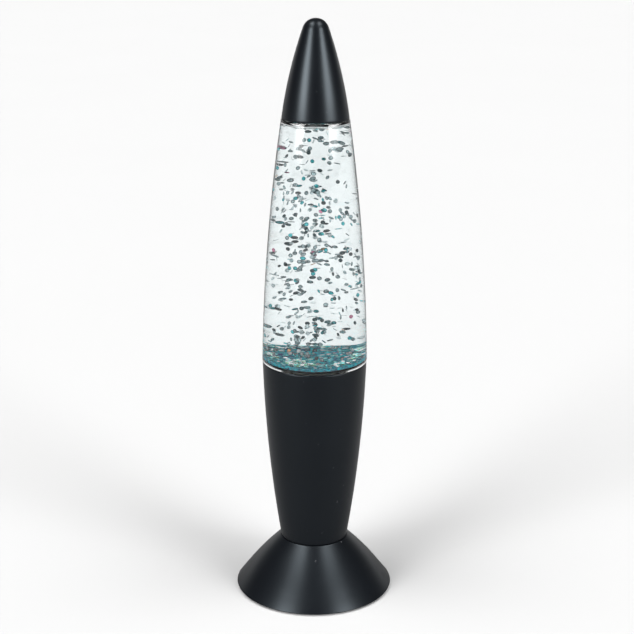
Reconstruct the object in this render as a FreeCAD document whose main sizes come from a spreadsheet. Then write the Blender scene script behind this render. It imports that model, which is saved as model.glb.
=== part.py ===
import FreeCAD, Part
import math
import os
import re
import Sketcher

# A cordless glitter lamp: a black foot and cup, a clear sealed bottle of liquid and glitter, and a
# black pointed cap.  A motor in the cup turns a magnet disc, which turns the magnetic stirrer
# sealed in the well under the bottle.  Millimetres, +Z up, origin on the axis at the surface that
# the rubber feet stand on.

doc = FreeCAD.newDocument("GlitterLamp")
sheet = doc.addObject("Spreadsheet::Sheet", "Sizes")

SIZES = [
    # the four stacked lengths, and the radii where they meet
    ("foot_height", 31.4), ("cup_height", 107.2), ("bottle_height", 137.6), ("cap_height", 53.8),
    ("foot_radius", 45.3), ("flare_radius", 40.33), ("flare_height", 7.98),
    ("waist_radius", 19.2), ("rim_radius", 29.5), ("bottle_low_radius", 29.7),
    ("bottle_high_radius", 18.8), ("cap_radius", 18.6), ("nose_radius", 7.17), ("nose_height", 5.38),
    ("foot_bulge", 0.77), ("cup_bulge", 1.83), ("bottle_bulge", 2.18), ("cap_bulge", 1.25),
    # walls, edges and named clearances
    ("foot_wall", 2.5), ("cup_wall", 2.0), ("bottle_wall", 1.8), ("cap_wall", 1.9),
    ("edge_round", 0.5), ("seam_gap", 0.4), ("lift_gap", 0.2), ("slide_fit", 0.2), ("spin_fit", 0.05),
    ("door_gap", 0.3), ("screw_play", 0.45), ("liquid_gap", 0.05), ("lead_play", 0.4),
    ("past", 1.0),
    # bottle: neck, spigot, floor and stirrer well
    ("neck_radius", 10.5), ("neck_height", 13.8), ("spigot_radius", 25.3), ("spigot_wall", 1.4),
    ("spigot_depth", 8.0), ("floor_thick", 2.0), ("well_radius", 12.0), ("well_depth", 8.1),
    ("well_wall", 1.5), ("grille_thick", 1.4), ("grille_lip", 2.0), ("slot_width", 1.6),
    ("bed_depth", 1.6), ("air_gap", 1.0),
    ("plug_stem", 10.0), ("plug_flange", 1.0), ("plug_flange_thick", 2.2), ("gasket_thick", 0.8),
    ("collar_wall", 1.2), ("collar_drop", 14.0), ("web_thick", 1.5), ("web_drop", 8.0),
    # glitter
    ("flake_radius", 1.15), ("flake_thick", 0.15), ("flake_count", 72),
    ("flake_settle", 1.7), ("flake_yaw", 316.3), ("flake_tilt", 96.3),
    # stirrer and its drive
    ("stirrer_play", 1.5), ("stirrer_thick", 3.0), ("stirrer_lift", 0.8), ("vane_height", 1.7),
    ("vane_thick", 1.4), ("hub_radius", 3.0), ("pin_radius", 1.0), ("magnet_radius", 3.0),
    ("magnet_circle", 7.0), ("magnet_thick", 2.0), ("drive_radius", 11.0), ("drive_thick", 4.0),
    ("drive_gap", 2.5), ("shaft_radius", 1.0),
    ("motor_radius", 12.0), ("motor_length", 14.0), ("motor_nose_radius", 3.0),
    ("motor_nose_height", 1.4), ("motor_cap_length", 2.6), ("tab_width", 2.0), ("tab_thick", 0.4),
    ("tab_length", 2.4), ("tab_circle", 7.5),
    # light deck, bracket and LED board
    ("deck_wall", 1.1), ("deck_floor", 2.0), ("deck_under_drive", 1.5), ("deck_circle", 22.3),
    ("guard_gap", 3.2), ("guard_wall", 1.4), ("board_lift", 3.4), ("board_thick", 1.6),
    ("board_edge", 0.4), ("post_circle", 20.0), ("post_radius", 2.3), ("led_count", 6),
    ("led_size", 5.0), ("led_thick", 1.0), ("lens_radius", 1.9), ("strap_thick", 1.2),
    ("strap_width", 10.0), ("strap_ear", 6.6), ("strap_boss", 6.0),
    ("lead_hole_circle", 18.5),
    # screws: thread radius and length, head radius and height, and the bosses they bite in
    ("screw_radius", 1.3), ("screw_length", 7.0), ("screw_bite", 6.0), ("head_radius", 2.5),
    ("head_height", 1.5), ("boss_radius", 3.0), ("small_screw_radius", 0.9),
    ("small_screw_length", 4.0), ("small_head_radius", 1.7), ("small_head_height", 1.1),
    ("waist_screw_circle", 11.0), ("base_screw_circle", 36.0), ("pilot_play", 0.02),
    ("wire_hole", 4.5), ("land_step", 1.4),
    # base plate, feet and battery bay
    ("plate_lift", 0.8), ("plate_thick", 2.0), ("plate_edge", 2.9), ("plate_gap", 0.2),
    ("plate_boss", 1.5), ("pad_radius", 4.0), ("pad_circle", 36.0), ("pad_sink", 0.6),
    ("cell_radius", 5.25), ("cell_length", 43.3), ("nub_radius", 1.9), ("nub_length", 1.2),
    ("cell_spacing", 0.7), ("cell_play", 0.55), ("cell_lift", 0.85), ("roof_play", 0.35),
    ("bay_wall", 1.6), ("bay_roof", 1.2), ("spring_length", 4.7), ("spring_radius", 3.4),
    ("spring_thick", 0.35), ("spring_width", 5.0), ("contact_thick", 0.4), ("contact_height", 7.2),
    ("contact_width", 8.0),
    ("door_thick", 1.6), ("door_lap", 0.9), ("tongue_width", 5.0), ("tongue_reach", 1.3),
    ("tongue_thick", 1.1), ("tongue_lift", 0.1), ("tongue_spread", 5.6), ("notch_rise", 5.0),
    ("head_sink", 0.1), ("ear_radius", 3.8), ("ear_out", 3.6), ("ear_thick", 2.6),
    # slide switch
    ("switch_place", 28.0), ("switch_boss", 2.5), ("ear_plate_length", 20.0),
    ("ear_plate_width", 6.4), ("ear_plate_thick", 0.5), ("switch_long", 10.4), ("switch_wide", 6.0),
    ("switch_tall", 5.0), ("switch_screw_spread", 7.6), ("knob_length", 4.0), ("knob_width", 2.8),
    ("knob_low", 0.4), ("knob_travel", 2.5),
    # leads
    ("lead_radius", 0.6), ("lead_bend", 3.0), ("lead_back", 8.0), ("lead_aside", 2.0),
    ("lead_drop", 5.0),
]
ALIASES = [alias for alias, value in SIZES]
for row, (alias, value) in enumerate(SIZES, start=1):
    sheet.set(f"A{row}", alias)
    sheet.set(f"B{row}", str(value))
    sheet.setAlias(f"B{row}", alias)
doc.recompute()


# ---- expressions of the sheet's sizes ----

def full(text):
    """The expression with the sheet's name put before each of its aliases."""
    return re.sub(r"[a-z_]+", lambda m: f"Sizes.{m[0]}" if m[0] in ALIASES else m[0], str(text))


def number(text):
    """What an expression of the sheet's sizes comes to."""
    return float(sheet.evalExpression(full(text)))


def bind(thing, **sizes):
    for name, text in sizes.items():
        thing.setExpression(name, full(text))


def place(thing, x="0", y="0", z="0"):
    """Tie a thing's place to the sheet."""
    for axis, text in zip("xyz", (x, y, z)):
        thing.setExpression(f"Placement.Base.{axis}", full(text))


def around(count, circle, first):
    """Evenly spaced places on a circle, as (x, y) expressions; first is in degrees."""
    turns = [first + 360.0 / count * step for step in range(count)]
    return [(f"({circle}) * cos({turn})", f"({circle}) * sin({turn})") for turn in turns]


def flank(side, z):
    """Radius at height z of a bowed side, given as its low end, high end and bulge."""
    (r_low, z_low), (r_high, z_high), bulge = side
    share = f"((({z}) - ({z_low})) / (({z_high}) - ({z_low})))"
    slant = f"sqrt(1 + ((({r_high}) - ({r_low})) / (({z_high}) - ({z_low})))^2)"
    chord = f"({r_low}) + (({r_high}) - ({r_low})) * {share}"
    return f"({chord} + 4 * {bulge} * {slant} * {share} * (1 - {share}))"


def bow(side):
    """Radius of the arc that a bowed side follows."""
    (r_low, z_low), (r_high, z_high), bulge = side
    half_chord_squared = f"(((({r_high}) - ({r_low}))^2 + (({z_high}) - ({z_low}))^2) / 4)"
    return f"(({half_chord_squared} + {bulge}^2) / (2 * {bulge}))"


# ---- shapes ----

def arc_between(start, end, radius, side):
    """The shorter arc from start to end; side 1 bows to the right of the way, -1 to the left."""
    way = end - start
    sagitta = radius - math.sqrt(radius ** 2 - way.Length ** 2 / 4)
    right = FreeCAD.Vector(way.y, -way.x, 0).normalize()
    return Part.Arc(start, (start + end) * 0.5 + right * sagitta * side, end)


def outline(body, name, corners):
    """A closed sketch in the body's XZ plane, with each corner tied to the sheet.

    A corner is (radius, height), or (radius, height, arc radius, side) where an arc starts."""
    sketch = body.newObject("Sketcher::SketchObject", name + "_outline")
    plane = next(face for face in body.Origin.OriginFeatures if face.Role == "XZ_Plane")
    sketch.AttachmentSupport = [(plane, "")]
    sketch.MapMode = "FlatFace"
    spots = [FreeCAD.Vector(number(corner[0]), number(corner[1]), 0) for corner in corners]
    first_ends = []
    for index, corner in enumerate(corners):
        start, end = spots[index], spots[(index + 1) % len(spots)]
        if len(corner) > 2:
            edge = arc_between(start, end, number(corner[2]), corner[3])
        else:
            edge = Part.LineSegment(start, end)
        sketch.addGeometry(edge, False)
        first_ends.append(1 if sketch.getPoint(index, 1).distanceToPoint(start) < 1e-6 else 2)
    for index, corner in enumerate(corners):
        after = (index + 1) % len(corners)
        sketch.addConstraint(Sketcher.Constraint(
            "Coincident", index, 3 - first_ends[index], after, first_ends[after]))
        fix_distance(sketch, "DistanceX", index, first_ends[index], corner[0], -2)
        fix_distance(sketch, "DistanceY", index, first_ends[index], corner[1], -1)
        if len(corner) > 2:
            made = sketch.addConstraint(Sketcher.Constraint("Radius", index, number(corner[2])))
            sketch.renameConstraint(made, f"arc_{index}")
            sketch.setExpression(f"Constraints.arc_{index}", full(corner[2]))
    return sketch


def fix_distance(sketch, kind, index, end, text, axis):
    """Tie one corner's distance from the origin to the sheet, or put it on the axis for a 0."""
    if text == "0":
        sketch.addConstraint(Sketcher.Constraint("PointOnObject", index, end, axis))
        return
    made = sketch.addConstraint(Sketcher.Constraint(kind, -1, 1, index, end, number(text)))
    sketch.renameConstraint(made, f"{kind}_{index}")
    sketch.setExpression(f"Constraints.{kind}_{index}", full(text))


def lathe(name, corners):
    """A body turned about Z from its outline."""
    body = doc.addObject("PartDesign::Body", name)
    turned = body.newObject("PartDesign::Revolution", name + "_turned")
    turned.Profile = outline(body, name, corners)
    turned.ReferenceAxis = (turned.Profile[0], ["V_Axis"])
    turned.Angle = 360
    body.Tip = turned
    return body


def tube_outline(inner, outer, low, high):
    """Corners of a plain ring."""
    return [(inner, low), (outer, low), (outer, high), (inner, high)]


def rod(name, radius, low, high, x="0", y="0"):
    """An upright round bar between two heights."""
    bar = doc.addObject("Part::Cylinder", name)
    bind(bar, Radius=radius, Height=f"({high}) - ({low})")
    place(bar, x, y, low)
    return bar


def level_rod(name, radius, start, length, x, z):
    """A round bar that lies along +Y from start."""
    bar = doc.addObject("Part::Cylinder", name)
    bind(bar, Radius=radius, Height=length)
    bar.Placement = FreeCAD.Placement(FreeCAD.Vector(), FreeCAD.Rotation(FreeCAD.Vector(1, 0, 0), -90))
    place(bar, x, start, z)
    return bar


def block(name, x_span, y_span, z_span):
    """A box between pairs of x, y and z."""
    box = doc.addObject("Part::Box", name)
    bind(box, Length=f"({x_span[1]}) - ({x_span[0]})", Width=f"({y_span[1]}) - ({y_span[0]})",
         Height=f"({z_span[1]}) - ({z_span[0]})")
    place(box, x_span[0], y_span[0], z_span[0])
    return box


def centred(size, middle="0"):
    """The two ends of a span about its middle."""
    return (f"({middle}) - ({size}) / 2", f"({middle}) + ({size}) / 2")


def join(name, pieces):
    """One solid of several that touch."""
    if len(pieces) == 1:
        return pieces[0]
    fused = doc.addObject("Part::MultiFuse", name)
    fused.Shapes = pieces
    fused.Refine = True
    return fused


def cut(name, base, tools):
    """The base with the tools taken out of it."""
    taken = doc.addObject("Part::Cut", name)
    taken.Base = base
    taken.Tool = join(name + "_tools", tools)
    taken.Refine = True
    return taken


def inside(name, piece, hull):
    """What of a piece lies inside a hull."""
    common = doc.addObject("Part::Common", name)
    common.Base = piece
    common.Tool = hull
    return common


def group(name, pieces):
    """Separate identical solids that share one node."""
    compound = doc.addObject("Part::Compound", name)
    compound.Links = pieces
    return compound


def screw(name, x, y, seat, size="", up=True):
    """A pan-head screw whose head bears on the height seat; up is the way its thread points."""
    sign = "+" if up else "-"
    thread = sorted_span(seat, f"{seat} {sign} {size}screw_length", up)
    head = sorted_span(seat, f"{seat} {'-' if up else '+'} {size}head_height", not up)
    return join(name, [
        rod(name + "_thread", f"{size}screw_radius", *thread, x, y),
        rod(name + "_head", f"{size}head_radius", *head, x, y),
    ])


def sorted_span(near, far, rising):
    return (near, far) if rising else (far, near)


PARTS = {}


def part(node, thing):
    """Name a finished sub-part."""
    thing.Label = node
    PARTS[node] = thing
    return thing


# ---- levels and sides that several sub-parts share ----

WAIST = "foot_height"
RIM = "(foot_height + cup_height)"
SHOULDER = "(foot_height + cup_height + bottle_height)"
TOP = "(foot_height + cup_height + bottle_height + cap_height)"
SKIRT_EDGE = "(plate_lift + plate_gap)"
SKIRT_WIDEST = f"({SKIRT_EDGE} + edge_round)"
CUP_LOW = f"({WAIST} + seam_gap / 2)"
BOTTLE_LOW = f"({RIM} + lift_gap / 2)"
BOTTLE_FLOOR = f"({BOTTLE_LOW} + floor_thick)"
WELL_FLOOR = f"({BOTTLE_FLOOR} - well_depth)"
NECK_TOP = f"({SHOULDER} + neck_height)"
BED_TOP = f"({BOTTLE_FLOOR} + bed_depth)"
LIQUID_TOP = f"({SHOULDER} - bottle_wall - air_gap)"
DRIVE_TOP = f"({WELL_FLOOR} - well_wall - drive_gap)"
DECK_TOP = f"({DRIVE_TOP} - drive_thick - deck_under_drive)"
DECK_LOW = f"({DECK_TOP} - deck_floor)"
BOARD_LOW = f"({DECK_TOP} + board_lift)"
BOARD_TOP = f"({BOARD_LOW} + board_thick)"
PLATE_TOP = "(plate_lift + plate_thick)"
PLATE_SCREW_SEAT = f"({PLATE_TOP} + plate_boss - land_step)"
CELL_MIDDLE = "(plate_lift + door_thick + cell_lift + cell_radius)"
BAY_ROOF_LOW = f"({CELL_MIDDLE} + cell_radius + roof_play)"
BAY_TOP = f"({BAY_ROOF_LOW} + bay_roof)"
CELL_PITCH = "(2 * cell_radius + cell_spacing)"
BAY_HALF_WIDE = f"({CELL_PITCH} + cell_radius + cell_play)"
BAY_HALF_LONG = "((cell_length + nub_length + spring_length) / 2 + contact_thick)"

STRAP_LEG = "(motor_radius + slide_fit + strap_thick)"
STRAP_HOLE = f"({STRAP_LEG} + strap_ear / 2)"
EAR_Y = f"({BAY_HALF_LONG} + ear_out)"
TERMINAL_X = f"({CELL_PITCH} - contact_width / 4)"
TERMINAL_Y = f"({BAY_HALF_LONG} - contact_thick / 2)"

FOOT_SIDE = (("flare_radius", "flare_height"), ("waist_radius", WAIST), "foot_bulge")
CUP_SIDE = (("waist_radius", WAIST), ("rim_radius", RIM), "cup_bulge")
BOTTLE_SIDE = (("bottle_low_radius", RIM), ("bottle_high_radius", SHOULDER), "bottle_bulge")
CAP_SIDE = (("cap_radius", SHOULDER), ("nose_radius", f"{TOP} - nose_height"), "cap_bulge")
SEAT_RADIUS = "(spigot_radius + slide_fit)"
DECK_SCREWS = around(3, "deck_circle", 90)
BOARD_SCREWS = around(3, "post_circle", 30)
WAIST_SCREWS = around(3, "waist_screw_circle", 90)
BASE_SCREWS = around(3, "base_screw_circle", 30)
LEAD_HOLES = around(4, "lead_hole_circle", 45)
CELLS = [(f"-{CELL_PITCH}", 1), ("0", -1), (CELL_PITCH, 1)]


# ---- cap ----

def make_cap():
    """Hollow pointed cap whose inner collar grips the plug's flange."""
    low = f"{SHOULDER} + lift_gap"
    flat = f"{TOP} - nose_height"
    collar = "(neck_radius + plug_flange + slide_fit)"
    collar_top = f"({NECK_TOP} + gasket_thick + plug_flange_thick + lift_gap)"
    web_low = f"({collar_top} - web_drop)"
    ceiling = f"({flat} - web_thick)"
    nose_arc = "((nose_radius^2 + nose_height^2) / (2 * nose_height))"
    inner_low = f"{flank(CAP_SIDE, low)} - cap_wall"
    return lathe("cap", [
        (inner_low, low),
        (f"{flank(CAP_SIDE, low)} - edge_round", low, "edge_round", 1),
        (flank(CAP_SIDE, f"{low} + edge_round"), f"{low} + edge_round", bow(CAP_SIDE), 1),
        ("nose_radius", flat, nose_arc, 1),
        ("0", TOP),
        ("0", ceiling),
        (f"{flank(CAP_SIDE, ceiling)} - cap_wall", ceiling, bow(CAP_SIDE), -1),
        (f"{flank(CAP_SIDE, web_low + ' + web_thick')} - cap_wall", f"{web_low} + web_thick"),
        (f"{collar} + collar_wall", f"{web_low} + web_thick"),
        (f"{collar} + collar_wall", collar_top),
        (collar, collar_top),
        (collar, f"{collar_top} - collar_drop"),
        (f"{collar} + collar_wall", f"{collar_top} - collar_drop"),
        (f"{collar} + collar_wall", web_low),
        (f"{flank(CAP_SIDE, web_low)} - cap_wall", web_low, bow(CAP_SIDE), -1),
    ])


# ---- bottle, what it holds and its stopper ----

def make_bottle():
    """Clear bottle: neck, bowed wall, floor with a spigot ring and a well for the stirrer."""
    low_edge, high_edge = f"({BOTTLE_LOW} + edge_round)", f"({SHOULDER} - edge_round)"
    ceiling = f"({SHOULDER} - bottle_wall)"
    grille_seat = f"({BOTTLE_FLOOR} - grille_thick)"
    outer = lambda z: flank(BOTTLE_SIDE, z)
    return lathe("clear_bottle", [
        ("0", f"{WELL_FLOOR} - well_wall"),
        ("well_radius + well_wall", f"{WELL_FLOOR} - well_wall"),
        ("well_radius + well_wall", BOTTLE_LOW),
        ("spigot_radius - spigot_wall", BOTTLE_LOW),
        ("spigot_radius - spigot_wall", f"{BOTTLE_LOW} - spigot_depth"),
        ("spigot_radius", f"{BOTTLE_LOW} - spigot_depth"),
        ("spigot_radius", BOTTLE_LOW),
        (f"{outer(BOTTLE_LOW)} - edge_round", BOTTLE_LOW, "edge_round", 1),
        (outer(low_edge), low_edge, bow(BOTTLE_SIDE), 1),
        (outer(high_edge), high_edge, "edge_round", 1),
        (f"{outer(SHOULDER)} - edge_round", SHOULDER),
        ("neck_radius", SHOULDER),
        ("neck_radius", NECK_TOP),
        ("neck_radius - bottle_wall", NECK_TOP),
        ("neck_radius - bottle_wall", ceiling),
        (f"{outer(ceiling)} - bottle_wall", ceiling, bow(BOTTLE_SIDE), -1),
        (f"{outer(BOTTLE_FLOOR)} - bottle_wall", BOTTLE_FLOOR),
        ("well_radius + grille_lip", BOTTLE_FLOOR),
        ("well_radius + grille_lip", grille_seat),
        ("well_radius", grille_seat),
        ("well_radius", WELL_FLOOR),
        ("0", WELL_FLOOR),
    ])


def make_plug():
    """Stopper: a stem in the neck and a flange over it."""
    flange_low = f"({NECK_TOP} + gasket_thick)"
    flange_top = f"({flange_low} + plug_flange_thick)"
    stem = "(neck_radius - bottle_wall - spin_fit)"
    return lathe("stopper", [
        ("0", f"{flange_low} - plug_stem"),
        (f"{stem} - edge_round", f"{flange_low} - plug_stem"),
        (stem, f"{flange_low} - plug_stem + edge_round"),
        (stem, flange_low),
        ("neck_radius + plug_flange", flange_low),
        ("neck_radius + plug_flange", f"{flange_top} - edge_round"),
        ("neck_radius + plug_flange - edge_round", flange_top),
        ("0", flange_top),
    ])


def make_gasket():
    """Rubber ring between the neck's lip and the stopper's flange."""
    return lathe("sealing_ring", tube_outline(
        "neck_radius - bottle_wall", "neck_radius - liquid_gap", NECK_TOP,
        f"{NECK_TOP} + gasket_thick"))


def bottle_inside(z):
    """Radius of what lies against the bottle's inner wall at height z."""
    return f"{flank(BOTTLE_SIDE, z)} - bottle_wall - liquid_gap"


def make_liquid():
    """The clear liquid, from the settled glitter to the air under the shoulder."""
    return lathe("liquid", [
        ("0", BED_TOP),
        (bottle_inside(BED_TOP), BED_TOP, bow(BOTTLE_SIDE), 1),
        (bottle_inside(LIQUID_TOP), LIQUID_TOP),
        ("0", LIQUID_TOP),
    ])


def make_bed():
    """Glitter that has settled on the floor round the grille."""
    return lathe("settled_glitter", [
        ("well_radius + grille_lip + liquid_gap", BOTTLE_FLOOR),
        (bottle_inside(BOTTLE_FLOOR), BOTTLE_FLOOR),
        (bottle_inside(BED_TOP), BED_TOP),
        ("well_radius + grille_lip + liquid_gap", BED_TOP),
    ])


def make_flakes():
    """Round foil flakes that float in the liquid, more of them low down."""
    golden_share = (math.sqrt(5) - 1) / 2
    count, flake_radius = int(number("flake_count")), number("flake_radius")
    low, high = number(BED_TOP) + 2 * flake_radius, number(LIQUID_TOP) - 2 * flake_radius
    discs = []
    for index in range(count):
        share = (index + 0.5) / count
        height = low + (high - low) * share ** number("flake_settle")
        room = number(bottle_inside(str(height))) - 2 * flake_radius
        reach = room * math.sqrt(index * golden_share % 1)
        turn = FreeCAD.Rotation(number("flake_yaw") * index, number("flake_tilt") * index, 0)
        disc = Part.makeCylinder(flake_radius, number("flake_thick"))
        spin = 2 * math.pi * golden_share ** 2 * index
        disc.Placement = FreeCAD.Placement(
            FreeCAD.Vector(reach * math.cos(spin), reach * math.sin(spin), height), turn)
        discs.append(disc)
    flakes = doc.addObject("Part::Feature", "flakes")
    flakes.Shape = Part.makeCompound(discs)
    flakes.Placement = FreeCAD.Placement()
    return flakes


def make_grille():
    """Slotted disc that closes the stirrer well, flush with the bottle's floor."""
    low = f"{BOTTLE_FLOOR} - grille_thick"
    disc = rod("grille_disc", "well_radius + grille_lip - liquid_gap", low, BOTTLE_FLOOR)
    slots = []
    for step in (-3, -2, -1, 0, 1, 2, 3):
        reach = f"sqrt((well_radius - slot_width)^2 - ({step} * 2 * slot_width)^2)"
        slots.append(block(f"grille_slot_{step + 4}", (f"-{reach}", reach),
                           centred("slot_width", f"{step} * 2 * slot_width"),
                           (f"{low} - past", f"{BOTTLE_FLOOR} + past")))
    return cut("grille", disc, slots)


# ---- stirrer, drive and motor ----

def make_stirrer():
    """Vaned disc with two magnets in its underside, on a fixed pin."""
    low = f"({WELL_FLOOR} + stirrer_lift)"
    top = f"({low} + stirrer_thick)"
    reach = "(well_radius - stirrer_play)"
    vanes = [
        block("vane_x", centred(f"2 * ({reach} - edge_round)"), centred("vane_thick"),
              (top, f"{top} + vane_height")),
        block("vane_y", centred("vane_thick"), centred(f"2 * ({reach} - edge_round)"),
              (top, f"{top} + vane_height")),
    ]
    disc = join("stirrer_solid", vanes + [
        rod("stirrer_disc", reach, low, top),
        rod("stirrer_hub", "hub_radius", low, f"{top} + vane_height"),
    ])
    pockets = [rod(f"stirrer_pocket_{i}", "magnet_radius", f"{low} - past", f"{low} + magnet_thick", x, y)
               for i, (x, y) in enumerate(around(2, "magnet_circle", 45))]
    bore = rod("stirrer_bore", "pin_radius + spin_fit", f"{low} - past", f"{top} + vane_height + past")
    part("stirrer", cut("stirrer_cut", disc, pockets + [bore]))
    part("stirrer_magnets", group("stirrer_magnet_pair", [
        rod(f"stirrer_magnet_{i}", "magnet_radius", low, f"{low} + magnet_thick", x, y)
        for i, (x, y) in enumerate(around(2, "magnet_circle", 45))]))
    part("stirrer_pin", rod("pin", "pin_radius", WELL_FLOOR, f"{top} + vane_height + stirrer_lift / 2"))


def make_drive():
    """Magnet disc on the motor's shaft, under the well."""
    low = f"({DRIVE_TOP} - drive_thick)"
    disc = rod("drive_blank", "drive_radius", low, DRIVE_TOP)
    pockets = [rod(f"drive_pocket_{i}", "magnet_radius", f"{DRIVE_TOP} - magnet_thick",
                   f"{DRIVE_TOP} + past", x, y) for i, (x, y) in enumerate(around(2, "magnet_circle", 45))]
    bore = rod("drive_bore", "shaft_radius", f"{low} - past", f"{DRIVE_TOP} + past")
    part("drive_disc", cut("drive", disc, pockets + [bore]))
    part("drive_magnets", group("drive_magnet_pair", [
        rod(f"drive_magnet_{i}", "magnet_radius", f"{DRIVE_TOP} - magnet_thick", DRIVE_TOP, x, y)
        for i, (x, y) in enumerate(around(2, "magnet_circle", 45))]))
    part("motor_shaft", rod("shaft", "shaft_radius", f"{DECK_LOW} - motor_length / 2", DRIVE_TOP))


def make_motor():
    """Steel can with a nose bush, and the plastic cap that closes its lower end."""
    low = f"({DECK_LOW} - motor_length)"
    split = f"({low} + motor_cap_length)"
    can = join("can_solid", [
        rod("can", "motor_radius", split, DECK_LOW),
        rod("can_nose", "motor_nose_radius", DECK_LOW, f"{DECK_LOW} + motor_nose_height"),
    ])
    bore = rod("can_bore", "shaft_radius + spin_fit", f"{DECK_LOW} - motor_length / 2 - spin_fit",
               f"{DECK_LOW} + motor_nose_height + past")
    part("motor_can", cut("motor_shell", can, [bore]))
    tabs = [block(f"motor_tab_{i}", centred("tab_width"), centred("tab_thick", y),
                  (f"{low} - tab_length", low)) for i, y in enumerate(("-tab_circle", "tab_circle"))]
    part("motor_end_cap", join("motor_end", tabs + [rod("motor_end_disc", "motor_radius", low, split)]))


def make_bracket():
    """Folded strap that holds the motor up against the deck."""
    low = f"({DECK_LOW} - motor_length - strap_thick)"
    flange = f"({DECK_LOW} - strap_boss)"
    leg_in, reach = f"({STRAP_LEG} - strap_thick)", f"({STRAP_LEG} + strap_ear)"
    width = centred("strap_width")
    folds = [block("strap_web", (f"-{STRAP_LEG}", STRAP_LEG), width, (low, f"{low} + strap_thick"))]
    for side in ("-", ""):
        leg = (leg_in, STRAP_LEG) if side == "" else (f"-{STRAP_LEG}", f"-{leg_in}")
        ear = (leg_in, reach) if side == "" else (f"-{reach}", f"-{leg_in}")
        folds.append(block(f"strap_leg_{len(folds)}", leg, width, (low, flange)))
        folds.append(block(f"strap_ear_{len(folds)}", ear, width, (f"{flange} - strap_thick", flange)))
    holes = [rod(f"strap_hole_{side}", "screw_radius + pilot_play", f"{flange} - strap_thick - past",
                 f"{flange} + past", f"{side} * {STRAP_HOLE}") for side in (-1, 1)]
    part("motor_bracket", cut("strap", join("strap_solid", folds), holes))
    part("bracket_screws", group("strap_screws", [
        screw(f"strap_screw_{i}", f"{side} * {STRAP_HOLE}", "0", f"({flange} - strap_thick)",
              "small_") for i, side in enumerate((-1, 1))]))


# ---- light deck ----

def make_deck():
    """Moulded deck in the cup: a seat for the bottle's spigot and a floor for board and motor."""
    top = f"({BOTTLE_LOW} - lift_gap - edge_round)"
    guard = "(drive_radius + guard_gap)"
    posts = [rod(f"deck_post_{i}", "post_radius", DECK_LOW, BOARD_LOW, x, y)
             for i, (x, y) in enumerate(BOARD_SCREWS)]
    lugs = [rod(f"deck_lug_{i}", "boss_radius", f"{DECK_LOW} - strap_boss", DECK_TOP,
                f"{side} * {STRAP_HOLE}") for i, side in enumerate((-1, 1))]
    shell = lathe("deck_shell", [
        ("motor_nose_radius + slide_fit", DECK_LOW),
        (f"{SEAT_RADIUS} + deck_wall", DECK_LOW),
        (f"{SEAT_RADIUS} + deck_wall", top),
        (SEAT_RADIUS, top),
        (SEAT_RADIUS, DECK_TOP),
        (f"{guard} + guard_wall", DECK_TOP),
        (f"{guard} + guard_wall", BOARD_LOW),
        (guard, BOARD_LOW),
        (guard, DECK_TOP),
        ("motor_nose_radius + slide_fit", DECK_TOP),
    ])
    small = "small_screw_radius + pilot_play"
    holes = [rod(f"deck_pilot_{i}", small, f"{BOARD_LOW} - small_screw_length", f"{BOARD_LOW} + past",
                 x, y) for i, (x, y) in enumerate(BOARD_SCREWS)]
    holes += [rod(f"deck_hole_{i}", "screw_radius + lead_play", f"{DECK_LOW} - past", f"{DECK_TOP} + past",
                  x, y) for i, (x, y) in enumerate(DECK_SCREWS)]
    holes += [rod(f"deck_lug_pilot_{i}", small, f"{DECK_LOW} - strap_boss - past",
                  f"{DECK_LOW} - strap_boss + small_screw_length", f"{side} * {STRAP_HOLE}")
              for i, side in enumerate((-1, 1))]
    holes += [rod(f"deck_lead_{i}", "lead_radius + lead_play", f"{DECK_LOW} - past", f"{DECK_TOP} + past",
                  x, y) for i, (x, y) in enumerate(LEAD_HOLES)]
    part("light_deck", cut("deck", join("deck_solid", [shell] + posts + lugs), holes))
    part("deck_screws", group("deck_screw_set", [
        screw(f"deck_screw_{i}", x, y, DECK_TOP, up=False) for i, (x, y) in enumerate(DECK_SCREWS)]))


def make_board():
    """Ring-shaped circuit board with its LEDs, on the deck's posts and guard ring."""
    ring = lathe("board_ring", tube_outline(
        "drive_radius + guard_gap", f"{SEAT_RADIUS} - board_edge", BOARD_LOW, BOARD_TOP))
    holes = [rod(f"board_hole_{i}", "small_screw_radius + pilot_play", f"{BOARD_LOW} - past",
                 f"{BOARD_TOP} + past", x, y) for i, (x, y) in enumerate(BOARD_SCREWS)]
    part("led_board", cut("board", ring, holes))
    part("board_screws", group("board_screw_set", [
        screw(f"board_screw_{i}", x, y, BOARD_TOP, "small_", up=False)
        for i, (x, y) in enumerate(BOARD_SCREWS)]))
    lamps = []
    for i, (x, y) in enumerate(around(int(number("led_count")), "post_circle", 0)):
        case = block(f"led_case_{i}", centred("led_size", x), centred("led_size", y),
                     (BOARD_TOP, f"{BOARD_TOP} + led_thick"))
        lens = doc.addObject("Part::Sphere", f"led_lens_{i}")
        bind(lens, Radius="lens_radius")
        lens.Angle1 = 0
        place(lens, x, y, f"{BOARD_TOP} + led_thick")
        lamps.append(join(f"led_{i}", [case, lens]))
    part("leds", group("led_set", lamps))


# ---- cup ----

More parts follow.
